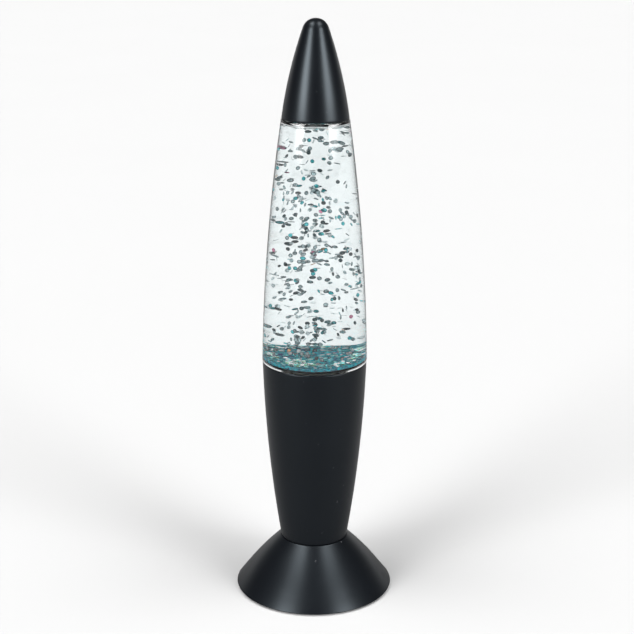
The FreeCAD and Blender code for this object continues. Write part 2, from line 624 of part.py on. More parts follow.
def make_cup():
    """Tapered cup with screw bosses on its floor and three ribbed bosses under the deck."""
    low_edge, top = f"({CUP_LOW} + edge_round)", f"({RIM} - lift_gap / 2)"
    high_edge = f"({top} - edge_round)"
    floor = f"({CUP_LOW} + cup_wall)"
    outer = lambda z: flank(CUP_SIDE, z)
    side = [
        (f"{outer(CUP_LOW)} - edge_round", CUP_LOW, "edge_round", 1),
        (outer(low_edge), low_edge, bow(CUP_SIDE), 1),
        (outer(high_edge), high_edge, "edge_round", 1),
        (f"{outer(top)} - edge_round", top),
    ]
    shell = lathe("cup_shell", [("wire_hole", CUP_LOW)] + side + [
        (f"{outer(top)} - cup_wall", top, bow(CUP_SIDE), -1),
        (f"{outer(floor)} - cup_wall", floor),
        ("wire_hole", floor),
    ])
    envelope = lathe("cup_envelope", [("0", CUP_LOW)] + side + [("0", top)])
    solids = [shell]
    for i, (x, y) in enumerate(WAIST_SCREWS):
        solids.append(rod(f"cup_boss_{i}", "boss_radius", CUP_LOW, f"{floor} + screw_bite", x, y))
    for i in range(3):
        solids.append(inside(f"cup_rib_{i}", cup_rib(i), envelope))
    holes = [rod(f"cup_pilot_{i}", "screw_radius + pilot_play", f"{CUP_LOW} - past",
                 f"{CUP_LOW} + screw_length", x, y) for i, (x, y) in enumerate(WAIST_SCREWS)]
    holes += [rod(f"cup_rib_pilot_{i}", "screw_radius + pilot_play",
                  f"{DECK_TOP} - screw_length - edge_round", f"{DECK_LOW} + past", x, y)
              for i, (x, y) in enumerate(DECK_SCREWS)]
    return cut("cup_body", join("cup_solid", solids), holes)


def cup_rib(index):
    """A boss under one deck screw with the web that ties it to the cup's wall."""
    low = f"({DECK_LOW} - screw_length - cup_wall)"
    x, y = DECK_SCREWS[index]
    boss = rod(f"rib_boss_{index}", "boss_radius", low, DECK_LOW, x, y)
    web = block(f"rib_web_{index}", ("deck_circle", "rim_radius"), centred("boss_radius"), (low, DECK_LOW))
    web.Placement = FreeCAD.Placement(
        FreeCAD.Vector(), FreeCAD.Rotation(FreeCAD.Vector(0, 0, 1), 90 + 120 * index))
    place(web, f"deck_circle * cos({90 + 120 * index}) + boss_radius / 2 * sin({90 + 120 * index})",
          f"deck_circle * sin({90 + 120 * index}) - boss_radius / 2 * cos({90 + 120 * index})", low)
    return join(f"rib_{index}", [boss, web])


# ---- foot ----

def make_foot():
    """Flared foot, open below, with a deck at the waist and bosses for the base plate."""
    deck_low = f"({WAIST} - foot_wall)"
    ledge = PLATE_TOP
    bore = "(foot_radius - plate_edge)"
    lower_share = f"((({ledge}) - {SKIRT_WIDEST}) / (flare_height - {SKIRT_WIDEST}))"
    ledge_radius = f"(foot_radius + (flare_radius - foot_radius) * {lower_share} - foot_wall)"
    side = [
        ("foot_radius - edge_round", SKIRT_EDGE, "edge_round", 1),
        ("foot_radius", SKIRT_WIDEST),
        ("flare_radius", "flare_height", bow(FOOT_SIDE), 1),
        (flank(FOOT_SIDE, f"{WAIST} - seam_gap / 2"), f"{WAIST} - seam_gap / 2"),
        ("waist_radius - land_step", f"{WAIST} - seam_gap / 2"),
        ("waist_radius - land_step", CUP_LOW),
    ]
    shell = lathe("foot_shell", [(bore, SKIRT_EDGE)] + side + [
        ("wire_hole", CUP_LOW),
        ("wire_hole", deck_low),
        (f"{flank(FOOT_SIDE, deck_low)} - foot_wall", deck_low, bow(FOOT_SIDE), -1),
        ("flare_radius - foot_wall", "flare_height"),
        (ledge_radius, ledge),
        (bore, ledge),
    ])
    envelope = lathe("foot_envelope", [("0", SKIRT_EDGE)] + side + [("0", CUP_LOW)])
    boss_low = f"({PLATE_TOP} + plate_boss)"
    bosses = [inside(f"foot_boss_{i}", rod(f"foot_boss_rod_{i}", "boss_radius", boss_low,
                                           f"{boss_low} + 2 * screw_length", x, y), envelope)
              for i, (x, y) in enumerate(BASE_SCREWS)]
    holes = [rod(f"foot_pilot_{i}", "screw_radius + pilot_play", f"{boss_low} - past",
                 f"{PLATE_SCREW_SEAT} + screw_length + spin_fit", x, y)
             for i, (x, y) in enumerate(BASE_SCREWS)]
    holes += [rod(f"foot_hole_{i}", "screw_radius + lead_play", f"{deck_low} - past", f"{CUP_LOW} + past",
                  x, y) for i, (x, y) in enumerate(WAIST_SCREWS)]
    part("foot", cut("foot_body", join("foot_solid", [shell] + bosses), holes))
    part("waist_screws", group("waist_screw_set", [
        screw(f"waist_screw_{i}", x, y, deck_low) for i, (x, y) in enumerate(WAIST_SCREWS)]))


# ---- base plate and battery bay ----

def foot_room(name, inset):
    """The room inside the foot's skirt, kept an inset away from its wall."""
    return lathe(name, [
        ("0", "plate_lift - past"),
        (f"flare_radius - foot_wall - ({inset})", "plate_lift - past"),
        (f"flare_radius - foot_wall - ({inset})", "flare_height", bow(FOOT_SIDE), 1),
        (f"waist_radius - foot_wall - ({inset})", WAIST),
        ("0", WAIST),
    ])


def make_base_plate():
    """Plate that closes the foot, with the battery bay, screw seats and switch pads on it."""
    half_x, half_y = f"({BAY_HALF_WIDE} + bay_wall)", f"({BAY_HALF_LONG} + bay_wall)"
    bay = inside("bay", block("bay_block", (f"-{half_x}", half_x), (f"-{half_y}", half_y),
                              (PLATE_TOP, BAY_TOP)), foot_room("bay_room", "door_gap"))
    ear_top = "(plate_lift + ear_thick + lift_gap / 2)"
    solids = [
        rod("plate_disc", "foot_radius - plate_edge - plate_gap", "plate_lift", PLATE_TOP),
        bay,
        rod("door_boss", "ear_radius + bay_wall", PLATE_TOP, f"{ear_top} + screw_bite + past", "0", EAR_Y),
    ]
    solids += [rod(f"plate_boss_{i}", "boss_radius", PLATE_TOP, f"{PLATE_TOP} + plate_boss", x, y)
               for i, (x, y) in enumerate(BASE_SCREWS)]
    solids += [block(f"switch_pad_{i}", centred("ear_plate_width", "switch_place"),
                     centred("2 * small_head_radius", f"{side} * switch_screw_spread"),
                     (PLATE_TOP, f"{PLATE_TOP} + switch_boss")) for i, side in enumerate((-1, 1))]
    holes = [rod(f"plate_seat_{i}", "head_radius + lead_play", "plate_lift - past", PLATE_SCREW_SEAT, x, y)
             for i, (x, y) in enumerate(BASE_SCREWS)]
    holes += [rod(f"plate_hole_{i}", "screw_radius + lead_play", "plate_lift - past",
                  f"{PLATE_TOP} + plate_boss + past", x, y) for i, (x, y) in enumerate(BASE_SCREWS)]
    holes += [rod(f"pad_recess_{i}", "pad_radius", "plate_lift - past", "plate_lift + pad_sink", x, y)
              for i, (x, y) in enumerate(around(4, "pad_circle", 45))]
    holes += bay_cuts(ear_top) + switch_cuts()
    part("base_plate", cut("plate", join("plate_solid", solids), holes))
    part("base_screws", group("base_screw_set", [
        screw(f"base_screw_{i}", x, y, PLATE_SCREW_SEAT) for i, (x, y) in enumerate(BASE_SCREWS)]))
    part("rubber_feet", group("pads", [
        rod(f"pad_{i}", "pad_radius", "0", "plate_lift + pad_sink", x, y)
        for i, (x, y) in enumerate(around(4, "pad_circle", 45))]))


def bay_cuts(ear_top):
    """The bay's hollow, the door's rebate and ear, the tongue notches and the lead holes."""
    ledge = "(plate_lift + door_thick + lift_gap / 2)"
    lap_x, lap_y = f"({BAY_HALF_WIDE} + door_lap)", f"({BAY_HALF_LONG} + door_lap)"
    plate_top = f"{CELL_MIDDLE} + contact_height / 2"
    hollow = block("bay_hollow_block", (f"-{BAY_HALF_WIDE}", BAY_HALF_WIDE),
                   (f"-{BAY_HALF_LONG}", BAY_HALF_LONG), ("plate_lift - past", BAY_ROOF_LOW))
    cuts = [
        inside("bay_hollow", hollow, foot_room("hollow_room", "door_gap + bay_wall / 2")),
        block("door_rebate", (f"-{lap_x}", lap_x), (f"-{lap_y}", lap_y), ("plate_lift - past", ledge)),
        rod("ear_recess", "ear_radius + door_gap", "plate_lift - past", ear_top, "0", EAR_Y),
        rod("door_pilot", "screw_radius + screw_play", "plate_lift - past", f"{ear_top} + screw_bite",
            "0", EAR_Y),
        rod("plus_lead_hole", "lead_radius + lead_play", plate_top, f"{BAY_TOP} + past",
            f"-{TERMINAL_X}", TERMINAL_Y),
        rod("minus_lead_hole", "lead_radius + lead_play", plate_top, f"{BAY_TOP} + past",
            TERMINAL_X, f"-{TERMINAL_Y}"),
    ]
    for i, side in enumerate((-1, 1)):
        cuts.append(block(f"tongue_notch_{i}",
                          centred("tongue_width + 2 * door_gap", f"{side} * tongue_spread"),
                          (f"-{BAY_HALF_LONG} - bay_wall - past", f"-{BAY_HALF_LONG} + past"),
                          (PLATE_TOP, "notch_rise")))
        cuts.append(block(f"neck_notch_{i}",
                          centred("tongue_width + 2 * door_gap", f"{side} * tongue_spread"),
                          (f"-{lap_y}", f"-{BAY_HALF_LONG} + past"), ("plate_lift", "notch_rise")))
    return cuts


def switch_cuts():
    """The knob's slot and the two pilot holes of the switch."""
    cuts = [block("knob_slot", centred("knob_width + 2 * door_gap", "switch_place"),
                  centred("knob_length + knob_travel + 2 * door_gap"),
                  ("plate_lift - past", f"{PLATE_TOP} + past"))]
    cuts += [rod(f"switch_pilot_{i}", "small_screw_radius + pilot_play",
                 f"{PLATE_TOP} + switch_boss + ear_plate_thick - small_screw_length - spin_fit",
                 f"{PLATE_TOP} + switch_boss + past", "switch_place", f"{side} * switch_screw_spread")
             for i, side in enumerate((-1, 1))]
    return cuts


def make_door():
    """Battery door: a flush plate, two tongues at one end and an ear for its screw at the other."""
    gap = "(door_lap - door_gap)"
    edge_x, edge_y = f"({BAY_HALF_WIDE} + {gap})", f"({BAY_HALF_LONG} + {gap})"
    top = "(plate_lift + door_thick)"
    tongue_low = f"({PLATE_TOP} + tongue_lift)"
    solids = [
        block("door_plate", (f"-{edge_x}", edge_x), (f"-{edge_y}", edge_y), ("plate_lift", top)),
        rod("door_ear", "ear_radius", "plate_lift", "plate_lift + ear_thick", "0", EAR_Y),
    ]
    for i, side in enumerate((-1, 1)):
        middle = f"{side} * tongue_spread"
        solids.append(block(f"tongue_neck_{i}", centred("tongue_width", middle),
                            (f"-{edge_y}", f"-{edge_y} + tongue_reach"), ("plate_lift", tongue_low)))
        solids.append(block(f"tongue_{i}", centred("tongue_width", middle),
                            (f"-{edge_y} - tongue_reach - door_gap", f"-{edge_y} + tongue_reach"),
                            (tongue_low, f"{tongue_low} + tongue_thick")))
    head_seat = "(plate_lift + head_sink + head_height)"
    part("battery_door", cut("door", join("door_solid", solids), [
        rod("door_seat", "head_radius + lead_play", "plate_lift - past", head_seat, "0", EAR_Y),
        rod("door_hole", "screw_radius", "plate_lift - past", "plate_lift + ear_thick + past", "0", EAR_Y),
    ]))
    thread = rod("door_thread", "screw_radius", head_seat, f"{head_seat} + screw_bite", "0", EAR_Y)
    head = rod("door_head", "head_radius", "plate_lift + head_sink", head_seat, "0", EAR_Y)
    part("door_screw", join("door_fastener", [thread, head]))


def make_cells():
    """Three small cells side by side, the middle one turned round, with plates and springs."""
    cells, springs = [], []
    for i, (x, way) in enumerate(CELLS):
        tail = f"({-way} * ({BAY_HALF_LONG} - contact_thick - spring_length))"
        cell = join(f"cell_{i}", [
            level_rod(f"cell_case_{i}", "cell_radius", f"{tail} - {(1 - way) // 2} * cell_length",
                      "cell_length", x, CELL_MIDDLE),
            level_rod(f"cell_nub_{i}", "nub_radius",
                      f"{tail} + {way} * cell_length - {(1 - way) // 2} * nub_length",
                      "nub_length", x, CELL_MIDDLE),
        ])
        cells.append(cell)
        springs.append(make_spring(i, x, way))
    part("battery_cells", group("cell_set", cells))
    part("contact_springs", group("spring_set", springs))
    plates = []
    reach = "contact_width / 2"
    spans = [(f"-{CELL_PITCH} - {reach}", f"-{CELL_PITCH} + {reach}", 1),
             (f"-{reach}", f"{CELL_PITCH} + {reach}", 1),
             (f"-{CELL_PITCH} - {reach}", reach, -1),
             (f"{CELL_PITCH} - {reach}", f"{CELL_PITCH} + {reach}", -1)]
    for i, (left, right, end) in enumerate(spans):
        y_span = ((f"{BAY_HALF_LONG} - contact_thick", BAY_HALF_LONG) if end > 0
                  else (f"-{BAY_HALF_LONG}", f"-{BAY_HALF_LONG} + contact_thick"))
        plates.append(block(f"contact_{i}", (left, right), y_span, centred("contact_height", CELL_MIDDLE)))
    part("contact_plates", group("contact_set", plates))


def make_spring(index, x, way):
    """Blade bent into an open loop, between a cell's flat end and its contact plate."""
    foot_face = f"({BAY_HALF_LONG} - contact_thick - pilot_play)"
    middle = f"{-way} * ({foot_face} - spring_length + 2 * pilot_play + spring_radius)"
    across = centred("spring_width", x)
    loop = cut(f"spring_loop_{index}",
               cross_rod(f"spring_outside_{index}", "spring_radius", across, middle),
               [cross_rod(f"spring_inside_{index}", "spring_radius - spring_thick",
                          centred("spring_width + 2 * past", x), middle)])
    room = sorted_span(f"{-way} * {foot_face}", f"{-way} * ({foot_face} - spring_length)", way > 0)
    return inside(f"spring_{index}", loop, block(
        f"spring_room_{index}", across, room, centred("2 * spring_radius", CELL_MIDDLE)))


def cross_rod(name, radius, x_span, y):
    """A round bar that lies along +X at the height of the cells' middles."""
    bar = doc.addObject("Part::Cylinder", name)
    bind(bar, Radius=radius, Height=f"({x_span[1]}) - ({x_span[0]})")
    bar.Placement = FreeCAD.Placement(FreeCAD.Vector(), FreeCAD.Rotation(FreeCAD.Vector(0, 1, 0), 90))
    place(bar, x_span[0], y, CELL_MIDDLE)
    return bar


# ---- slide switch ----

def make_switch():
    """Panel slide switch on the base plate's pads, with its knob through the slot."""
    seat = f"({PLATE_TOP} + switch_boss)"
    top = f"({seat} + ear_plate_thick)"
    x_mid = "switch_place"
    case = join("switch_solid", [
        block("switch_ears", centred("ear_plate_width", x_mid), centred("ear_plate_length"), (seat, top)),
        block("switch_case", centred("switch_wide", x_mid), centred("switch_long"),
              (top, f"{top} + switch_tall")),
        block("switch_pin_a", centred("tab_width", x_mid), centred("tab_thick", "tab_length"),
              (f"{top} + switch_tall", f"{top} + switch_tall + tab_length")),
        block("switch_pin_b", centred("tab_width", x_mid), centred("tab_thick", "-tab_length"),
              (f"{top} + switch_tall", f"{top} + switch_tall + tab_length")),
    ])
    window = block("switch_window", centred("knob_width + 2 * lift_gap", x_mid),
                   centred("knob_length + knob_travel + 2 * lift_gap"),
                   (f"{seat} - past", f"{seat} + switch_tall / 2"))
    holes = [rod(f"switch_hole_{i}", "small_screw_radius + pilot_play", f"{seat} - past", f"{top} + past",
                 x_mid, f"{side} * switch_screw_spread") for i, side in enumerate((-1, 1))]
    part("switch_body", cut("switch", case, [window] + holes))
    part("switch_screws", group("switch_screw_set", [
        screw(f"switch_screw_{i}", x_mid, f"{side} * switch_screw_spread", top, "small_", up=False)
        for i, side in enumerate((-1, 1))]))
    part("switch_slider", block(
        "knob", centred("knob_width", x_mid),
        ("-(knob_length + knob_travel) / 2", "(knob_length - knob_travel) / 2"),
        ("knob_low", f"{seat} + switch_tall / 2 - lift_gap")))


# ---- leads ----

LEAD_BEND_SHARE = 0.45
LEAD_VOLUME_SLACK = 0.02


def lead(name, route):
    """An insulated lead along straight runs joined by tangent arcs."""
    spots = [FreeCAD.Vector(*[number(value) for value in spot]) for spot in route]
    radius, bend = number("lead_radius"), number("lead_bend")
    edges, here = [], spots[0]
    for before, corner, after in zip(spots, spots[1:], spots[2:]):
        back, ahead = (before - corner).normalize(), (after - corner).normalize()
        half = back.getAngle(ahead) / 2
        room = LEAD_BEND_SHARE * min((before - corner).Length, (after - corner).Length)
        step = min(bend / math.tan(half), room)
        start, end = corner + back * step, corner + ahead * step
        inward = (back + ahead).normalize()
        turn_radius = step * math.tan(half)
        middle = corner + inward * (turn_radius / math.sin(half) - turn_radius)
        edges += [Part.LineSegment(here, start).toShape(), Part.Arc(start, middle, end).toShape()]
        here = end
    edges.append(Part.LineSegment(here, spots[-1]).toShape())
    path = Part.Wire(edges)
    ring = Part.Wire(Part.makeCircle(radius, spots[0], spots[1] - spots[0]))
    tube = path.makePipeShell([ring], True, False)
    if abs(tube.Volume / (math.pi * radius ** 2 * path.Length) - 1) > LEAD_VOLUME_SLACK:
        raise RuntimeError(f"{name}: the tube's volume is off")
    made = doc.addObject("Part::Feature", name)
    made.Shape = tube
    made.Placement = FreeCAD.Placement()
    return made


def make_leads():
    """Cell to switch, switch to board, board to cell, and two from the board to the motor."""
    plate_top = f"{CELL_MIDDLE} + contact_height / 2"
    over = f"({BAY_TOP} + 3 * lead_radius)"
    pin_top = f"({PLATE_TOP} + switch_boss + ear_plate_thick + switch_tall + tab_length)"
    pin_bend = f"({pin_top} + 3 * lead_radius)"
    climb = f"({WAIST} - 2 * lead_bend)"
    part("battery_lead", lead("plus_wire", [
        (f"-{TERMINAL_X}", TERMINAL_Y, plate_top), (f"-{TERMINAL_X}", TERMINAL_Y, over),
        (f"-{TERMINAL_X} / 2", f"{TERMINAL_Y} / 2", f"{over} + lead_bend"),
        ("switch_place - lead_back", "tab_length + lead_aside", f"{over} + lead_bend"),
        ("switch_place", "tab_length", pin_bend), ("switch_place", "tab_length", pin_top)]))
    part("switch_lead", lead("board_wire", [
        ("switch_place", "-tab_length", pin_top), ("switch_place", "-tab_length", pin_bend),
        ("switch_place - lead_back", "-tab_length - lead_aside / 2", f"{over} + lead_bend"),
        ("4 * lead_radius", "0", climb),
        *cup_climb("4 * lead_radius", 45)]))
    part("return_lead", lead("minus_wire", [
        (TERMINAL_X, f"-{TERMINAL_Y}", plate_top), (TERMINAL_X, f"-{TERMINAL_Y}", over),
        (f"{TERMINAL_X} / 2", f"-{TERMINAL_Y} / 2", f"{over} + lead_bend"),
        ("-4 * lead_radius", "-lead_aside", climb), *cup_climb("-4 * lead_radius", 225)]))
    tab_low = f"({DECK_LOW} - motor_length - tab_length)"
    motor_pair = []
    for i, (turn, side) in enumerate(((135, 1), (315, -1))):
        x, y = f"lead_hole_circle * cos({turn})", f"lead_hole_circle * sin({turn})"
        motor_pair.append(lead(f"motor_wire_{i}", [
            ("0", f"{side} * tab_circle", tab_low), ("0", f"{side} * tab_circle", f"{tab_low} - lead_drop"),
            (x, y, f"{tab_low} - lead_drop"), (x, y, BOARD_LOW)]))
    part("motor_leads", group("motor_wires", motor_pair))


def cup_climb(x, turn):
    """A lead's way from the waist's hole up the cup's wall to the board's underside."""
    side_x, side_y = f"cos({turn})", f"sin({turn})"
    low = f"({flank(CUP_SIDE, WAIST + ' + cup_height / 4')} - cup_wall - 4 * lead_radius)"
    return [
        (x, "0", f"{WAIST} + 4 * lead_bend"),
        (f"{low} * {side_x}", f"{low} * {side_y}", f"{WAIST} + cup_height / 4"),
        (f"lead_hole_circle * {side_x}", f"lead_hole_circle * {side_y}", f"{WAIST} + cup_height / 2"),
        (f"lead_hole_circle * {side_x}", f"lead_hole_circle * {side_y}", BOARD_LOW),
    ]


# ---- assembly ----

part("top_cap", make_cap())
part("bottle", make_bottle())
part("neck_plug", make_plug())
part("plug_gasket", make_gasket())
part("lamp_liquid", make_liquid())
part("glitter_bed", make_bed())
part("glitter_flakes", make_flakes())
part("well_grille", make_grille())
make_stirrer()
make_drive()
make_motor()
make_bracket()
make_deck()
make_board()
part("cup", make_cup())
make_foot()
make_base_plate()
make_door()
make_cells()
make_switch()
make_leads()
doc.recompute()

for thing in doc.Objects:
    if "Invalid" in thing.State or "Error" in thing.State:
        raise RuntimeError(f"{thing.Name} failed to build: {thing.State}")
    if thing.TypeId == "Part::Cut" and thing.Shape.Volume > thing.Base.Shape.Volume - 1e-3:
        raise RuntimeError(f"{thing.Name} cuts nothing")
for node, thing in PARTS.items():
    if thing.Shape.isNull() or not thing.Shape.isValid():
        raise RuntimeError(f"{node} has no valid shape")

os.makedirs("parts", exist_ok=True)
for node, thing in PARTS.items():
    thing.Shape.exportStep(f"parts/{node}.step")
    print(f"{node}: {len(thing.Shape.Solids)} solid(s), {thing.Shape.Volume:.1f} mm3")
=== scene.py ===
import math
import random

import bpy
from mathutils import Euler, Matrix, Vector


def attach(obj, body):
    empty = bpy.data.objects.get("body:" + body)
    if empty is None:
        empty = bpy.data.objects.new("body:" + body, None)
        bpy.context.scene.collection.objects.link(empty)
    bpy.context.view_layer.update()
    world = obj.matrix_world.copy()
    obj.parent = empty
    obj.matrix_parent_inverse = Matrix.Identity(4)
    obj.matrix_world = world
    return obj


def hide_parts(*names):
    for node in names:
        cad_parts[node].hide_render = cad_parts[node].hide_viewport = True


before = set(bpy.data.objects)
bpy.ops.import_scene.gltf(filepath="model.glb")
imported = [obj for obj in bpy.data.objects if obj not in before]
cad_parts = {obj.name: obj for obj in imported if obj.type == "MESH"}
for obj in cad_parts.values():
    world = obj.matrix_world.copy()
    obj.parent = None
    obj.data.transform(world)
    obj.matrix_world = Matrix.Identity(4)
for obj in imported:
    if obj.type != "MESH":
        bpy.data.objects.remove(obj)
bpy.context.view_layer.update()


# ---- Base plate, its screws and the rubber feet ----
# A black moulded plate closes the foot from below. Three pan-head screws hold it in the foot's
# bosses, and four rubber pads are pressed into its recesses.

class Wire:
    """One value inside a finish. Sums on it add Math nodes."""

    def __init__(self, tree, socket=None):
        self.tree = tree
        self.socket = socket

    def add(self, kind, settings=(), plugs=(), out=0):
        """Add a node: its settings first, then the values or wires of its sockets."""
        node = self.tree.nodes.new("ShaderNode" + kind)
        for name, value in dict(settings).items():
            setattr(node, name, value)
        for name, value in dict(plugs).items():
            if isinstance(value, Wire):
                self.tree.links.new(value.socket, node.inputs[name])
            else:
                node.inputs[name].default_value = value
        return Wire(self.tree, node.outputs[out])

    def sum_with(self, operation, first, second=0.0):
        return self.add("Math", {"operation": operation}, {0: first, 1: second})

    def __add__(self, other):
        return self.sum_with("ADD", self, other)

    def __radd__(self, other):
        return self.sum_with("ADD", other, self)

    def __sub__(self, other):
        return self.sum_with("SUBTRACT", self, other)

    def __rsub__(self, other):
        return self.sum_with("SUBTRACT", other, self)

    def __mul__(self, other):
        return self.sum_with("MULTIPLY", self, other)

    def __rmul__(self, other):
        return self.sum_with("MULTIPLY", other, self)

    def __abs__(self):
        return self.sum_with("ABSOLUTE", self)


def stretched(place, stretch):
    """The piece's own coordinates, drawn out by a factor along each axis."""
    return place.add("Mapping", {}, {"Vector": place, "Scale": tuple(1 / s for s in stretch)})


def grain(place, size, detail=2.0):
    """Soft cloudy noise whose clouds are about a size across."""
    return place.add("TexNoise", {}, {"Vector": place, "Scale": 1 / size, "Detail": detail})


def ease(value, start, end):
    """0 before start, 1 after end, and smooth between them."""
    return value.add("MapRange", {"interpolation_type": "SMOOTHSTEP"},
                     {"Value": value, "From Min": start, "From Max": end})


def blend(share, first, second):
    """From the first colour to the second by share."""
    return share.add("Mix", {"data_type": "RGBA"}, {0: share, 6: first, 7: second}, out=2)


def relief(height, depth):
    """A surface raised by height, which is 0 to 1, times a depth in metres."""
    return height.add("Bump", {}, {"Height": height, "Distance": depth, "Strength": 1.0})


def shade(colour, factor):
    """A colour made darker or lighter, with its alpha for a colour socket."""
    return tuple(channel * factor for channel in colour[:3]) + (1.0,)


def finish(name, fixed, recipe):
    """A named finish: fixed values stand on the shader, and the recipe draws what changes."""
    material = bpy.data.materials.new(name)
    material.use_nodes = True
    tree = material.node_tree
    tree.nodes.clear()
    shader = tree.nodes.new("ShaderNodeBsdfPrincipled")
    output = tree.nodes.new("ShaderNodeOutputMaterial")
    tree.links.new(shader.outputs[0], output.inputs["Surface"])
    place = Wire(tree).add("TexCoord", out="Object")
    for socket, value in {**fixed, **recipe(place)}.items():
        if isinstance(value, Wire):
            tree.links.new(value.socket, shader.inputs[socket])
        else:
            shader.inputs[socket].default_value = value
    return material


def moulded_plastic(name, colour, roughness, sheen=0.5, skin=0.0004, skin_depth=4e-6):
    """Injection-moulded plastic with the fine etched skin of its mould."""
    def recipe(place):
        flow = grain(place, 0.018)
        etched = grain(place, skin, 1.0)
        rubbed = ease(grain(stretched(place, (1, 1, 3)), 0.006, 4.0), 0.58, 0.75)
        return {"Base Color": blend(flow, shade(colour, 0.8), shade(colour, 1.2)),
                "Roughness": roughness + 0.10 * (etched - 0.5) + 0.06 * (flow - 0.5) - 0.05 * rubbed,
                "Normal": relief(etched, skin_depth)}
    return finish(name, {"Specular IOR Level": sheen}, recipe)


def worn_metal(name, colour, roughness, drawn=(1, 1, 6)):
    """Plated or plain metal, with the marks of drawing or rolling along one axis."""
    def recipe(place):
        lines = grain(stretched(place, drawn), 0.0003, 3.0)
        tarnish = grain(place, 0.004, 3.0)
        return {"Base Color": blend(tarnish, shade(colour, 0.8), shade(colour, 1.1)),
                "Roughness": roughness + 0.2 * (lines - 0.5) + 0.15 * (tarnish - 0.5),
                "Normal": relief(lines, 3e-6)}
    return finish(name, {"Metallic": 1.0}, recipe)


def soft_rubber(name, colour):
    """Matt rubber with a dusty bloom."""
    def recipe(place):
        bloom = ease(grain(place, 0.0015, 4.0), 0.45, 0.75)
        pores = grain(place, 0.0002)
        return {"Base Color": blend(bloom, shade(colour, 1.0), shade(colour, 2.0)),
                "Roughness": 0.75 + 0.15 * bloom, "Normal": relief(pores, 8e-6)}
    return finish(name, {"Specular IOR Level": 0.3}, recipe)


def dress(material, *nodes):
    """Give the material to each of these CAD nodes."""
    for node in nodes:
        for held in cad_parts[node].material_slots:
            held.material = material


LAMP_BLACK = (0.0028, 0.0034, 0.0046)
dress(moulded_plastic("base_plate_plastic", LAMP_BLACK, 0.5, skin=0.0006, skin_depth=8e-6), "base_plate")
dress(worn_metal("blackened_screws", (0.12, 0.12, 0.13), 0.42), "base_screws")
dress(soft_rubber("pad_rubber", (0.018, 0.018, 0.018)), "rubber_feet")


# ---- Battery door, cells and contacts ----
# A flush door in the base plate swings on two tongues and shuts with one captive screw. Under it
# lie three small cells, between nickel-plated contact plates and bent spring blades.

def cell_sleeve(name):
    """Printed shrink sleeve: grey with a copper band near one end, over steel ends."""
    half_long = 0.0205

    def recipe(place):
        along = place.add("SeparateXYZ", {}, {0: place}, out=1)
        ends = ease(abs(along), half_long, half_long + 0.0008)
        band = ease(along, 0.009, 0.0094)
        scuffs = grain(stretched(place, (1, 4, 1)), 0.0012, 4.0)
        sleeve = blend(band, (0.035, 0.038, 0.042, 1.0), (0.42, 0.16, 0.05, 1.0))
        return {"Base Color": blend(ends, sleeve, (0.55, 0.55, 0.54, 1.0)),
                "Metallic": 0.35 + 0.6 * ends, "Roughness": 0.22 + 0.25 * scuffs,
                "Normal": relief(scuffs, 1e-5)}
    return finish(name, {}, recipe)


dress(moulded_plastic("door_plastic", LAMP_BLACK, 0.46, skin=0.0006, skin_depth=8e-6), "battery_door")
dress(worn_metal("zinc_door_screw", (0.5, 0.5, 0.5), 0.3), "door_screw")
dress(cell_sleeve("cell_sleeves"), "battery_cells")
dress(worn_metal("nickel_contacts", (0.66, 0.64, 0.6), 0.25, drawn=(6, 1, 1)), "contact_plates")
dress(worn_metal("spring_blades", (0.62, 0.58, 0.52), 0.28, drawn=(1, 1, 4)), "contact_springs")


# ---- Slide switch ----
# A bought-in slide switch: a folded steel case with two ears, screwed to pads on the base plate,
# and a ribbed black knob that reaches down through the plate's slot.

def ribbed_knob(name):
    """Black acetal with fine grip ribs across the way it slides, painted darker in the grooves."""
    def recipe(place):
        along = place.add("SeparateXYZ", {}, {0: place}, out=1)
        ribs = along.sum_with("PINGPONG", along, 0.00025) * 4000.0
        # Painted shade: the colour follows the ribs' height, darker in the grooves and lighter on the
        # crests.
        return {"Base Color": blend(ribs, (0.012, 0.012, 0.013, 1.0), (0.03, 0.03, 0.032, 1.0)),
                "Roughness": 0.45 - 0.1 * ribs, "Normal": relief(ribs, 0.00012)}
    return finish(name, {}, recipe)


dress(worn_metal("switch_steel", (0.6, 0.6, 0.6), 0.3, drawn=(1, 6, 1)), "switch_body")
dress(worn_metal("switch_screw_zinc", (0.56, 0.56, 0.56), 0.28), "switch_screws")
dress(ribbed_knob("knob_acetal"), "switch_slider")


# ---- Leads ----
# Thin stranded wire in PVC: red from the cells to the switch and on to the board, black back to
# the cells, and a yellow pair from the board to the motor.

def lead_sleeve(name, colour):
    """Extruded PVC with a faint dusty streak."""
    def recipe(place):
        streak = grain(stretched(place, (1, 1, 5)), 0.0009, 3.0)
        return {"Base Color": blend(streak, shade(colour, 0.75), shade(colour, 1.15)),
                "Roughness": 0.3 + 0.2 * streak, "Normal": relief(streak, 2e-5)}
    return finish(name, {}, recipe)


dress(lead_sleeve("red_lead_sleeve", (0.45, 0.015, 0.012)), "battery_lead", "switch_lead")
dress(lead_sleeve("black_lead_sleeve", (0.014, 0.014, 0.014)), "return_lead")
dress(lead_sleeve("yellow_lead_sleeve", (0.55, 0.4, 0.03)), "motor_leads")


# ---- Foot ----
# The flared foot is moulded in satin black plastic, open below, with a deck at the waist that
# three screws fix to the cup, and three bosses inside for the base plate's screws.

TURN_STEPS = 160
EDGE_ROUND = 0.5
EDGE_STEP = 15
BEVEL_OVER, SMOOTH_UNDER = math.radians(28), math.radians(32)


def mm(*values):
    """Millimetres as metres."""
    return tuple(value / 1000 for value in values) if len(values) > 1 else values[0] / 1000


def bowed(side, height):
    """Radius at a height of a side that bows out between its low and its high end."""
    (low_radius, low), (high_radius, high), bulge = side
    share = (height - low) / (high - low)
    slant = math.hypot(1, (high_radius - low_radius) / (high - low))
    return low_radius + (high_radius - low_radius) * share + 4 * bulge * slant * share * (1 - share)


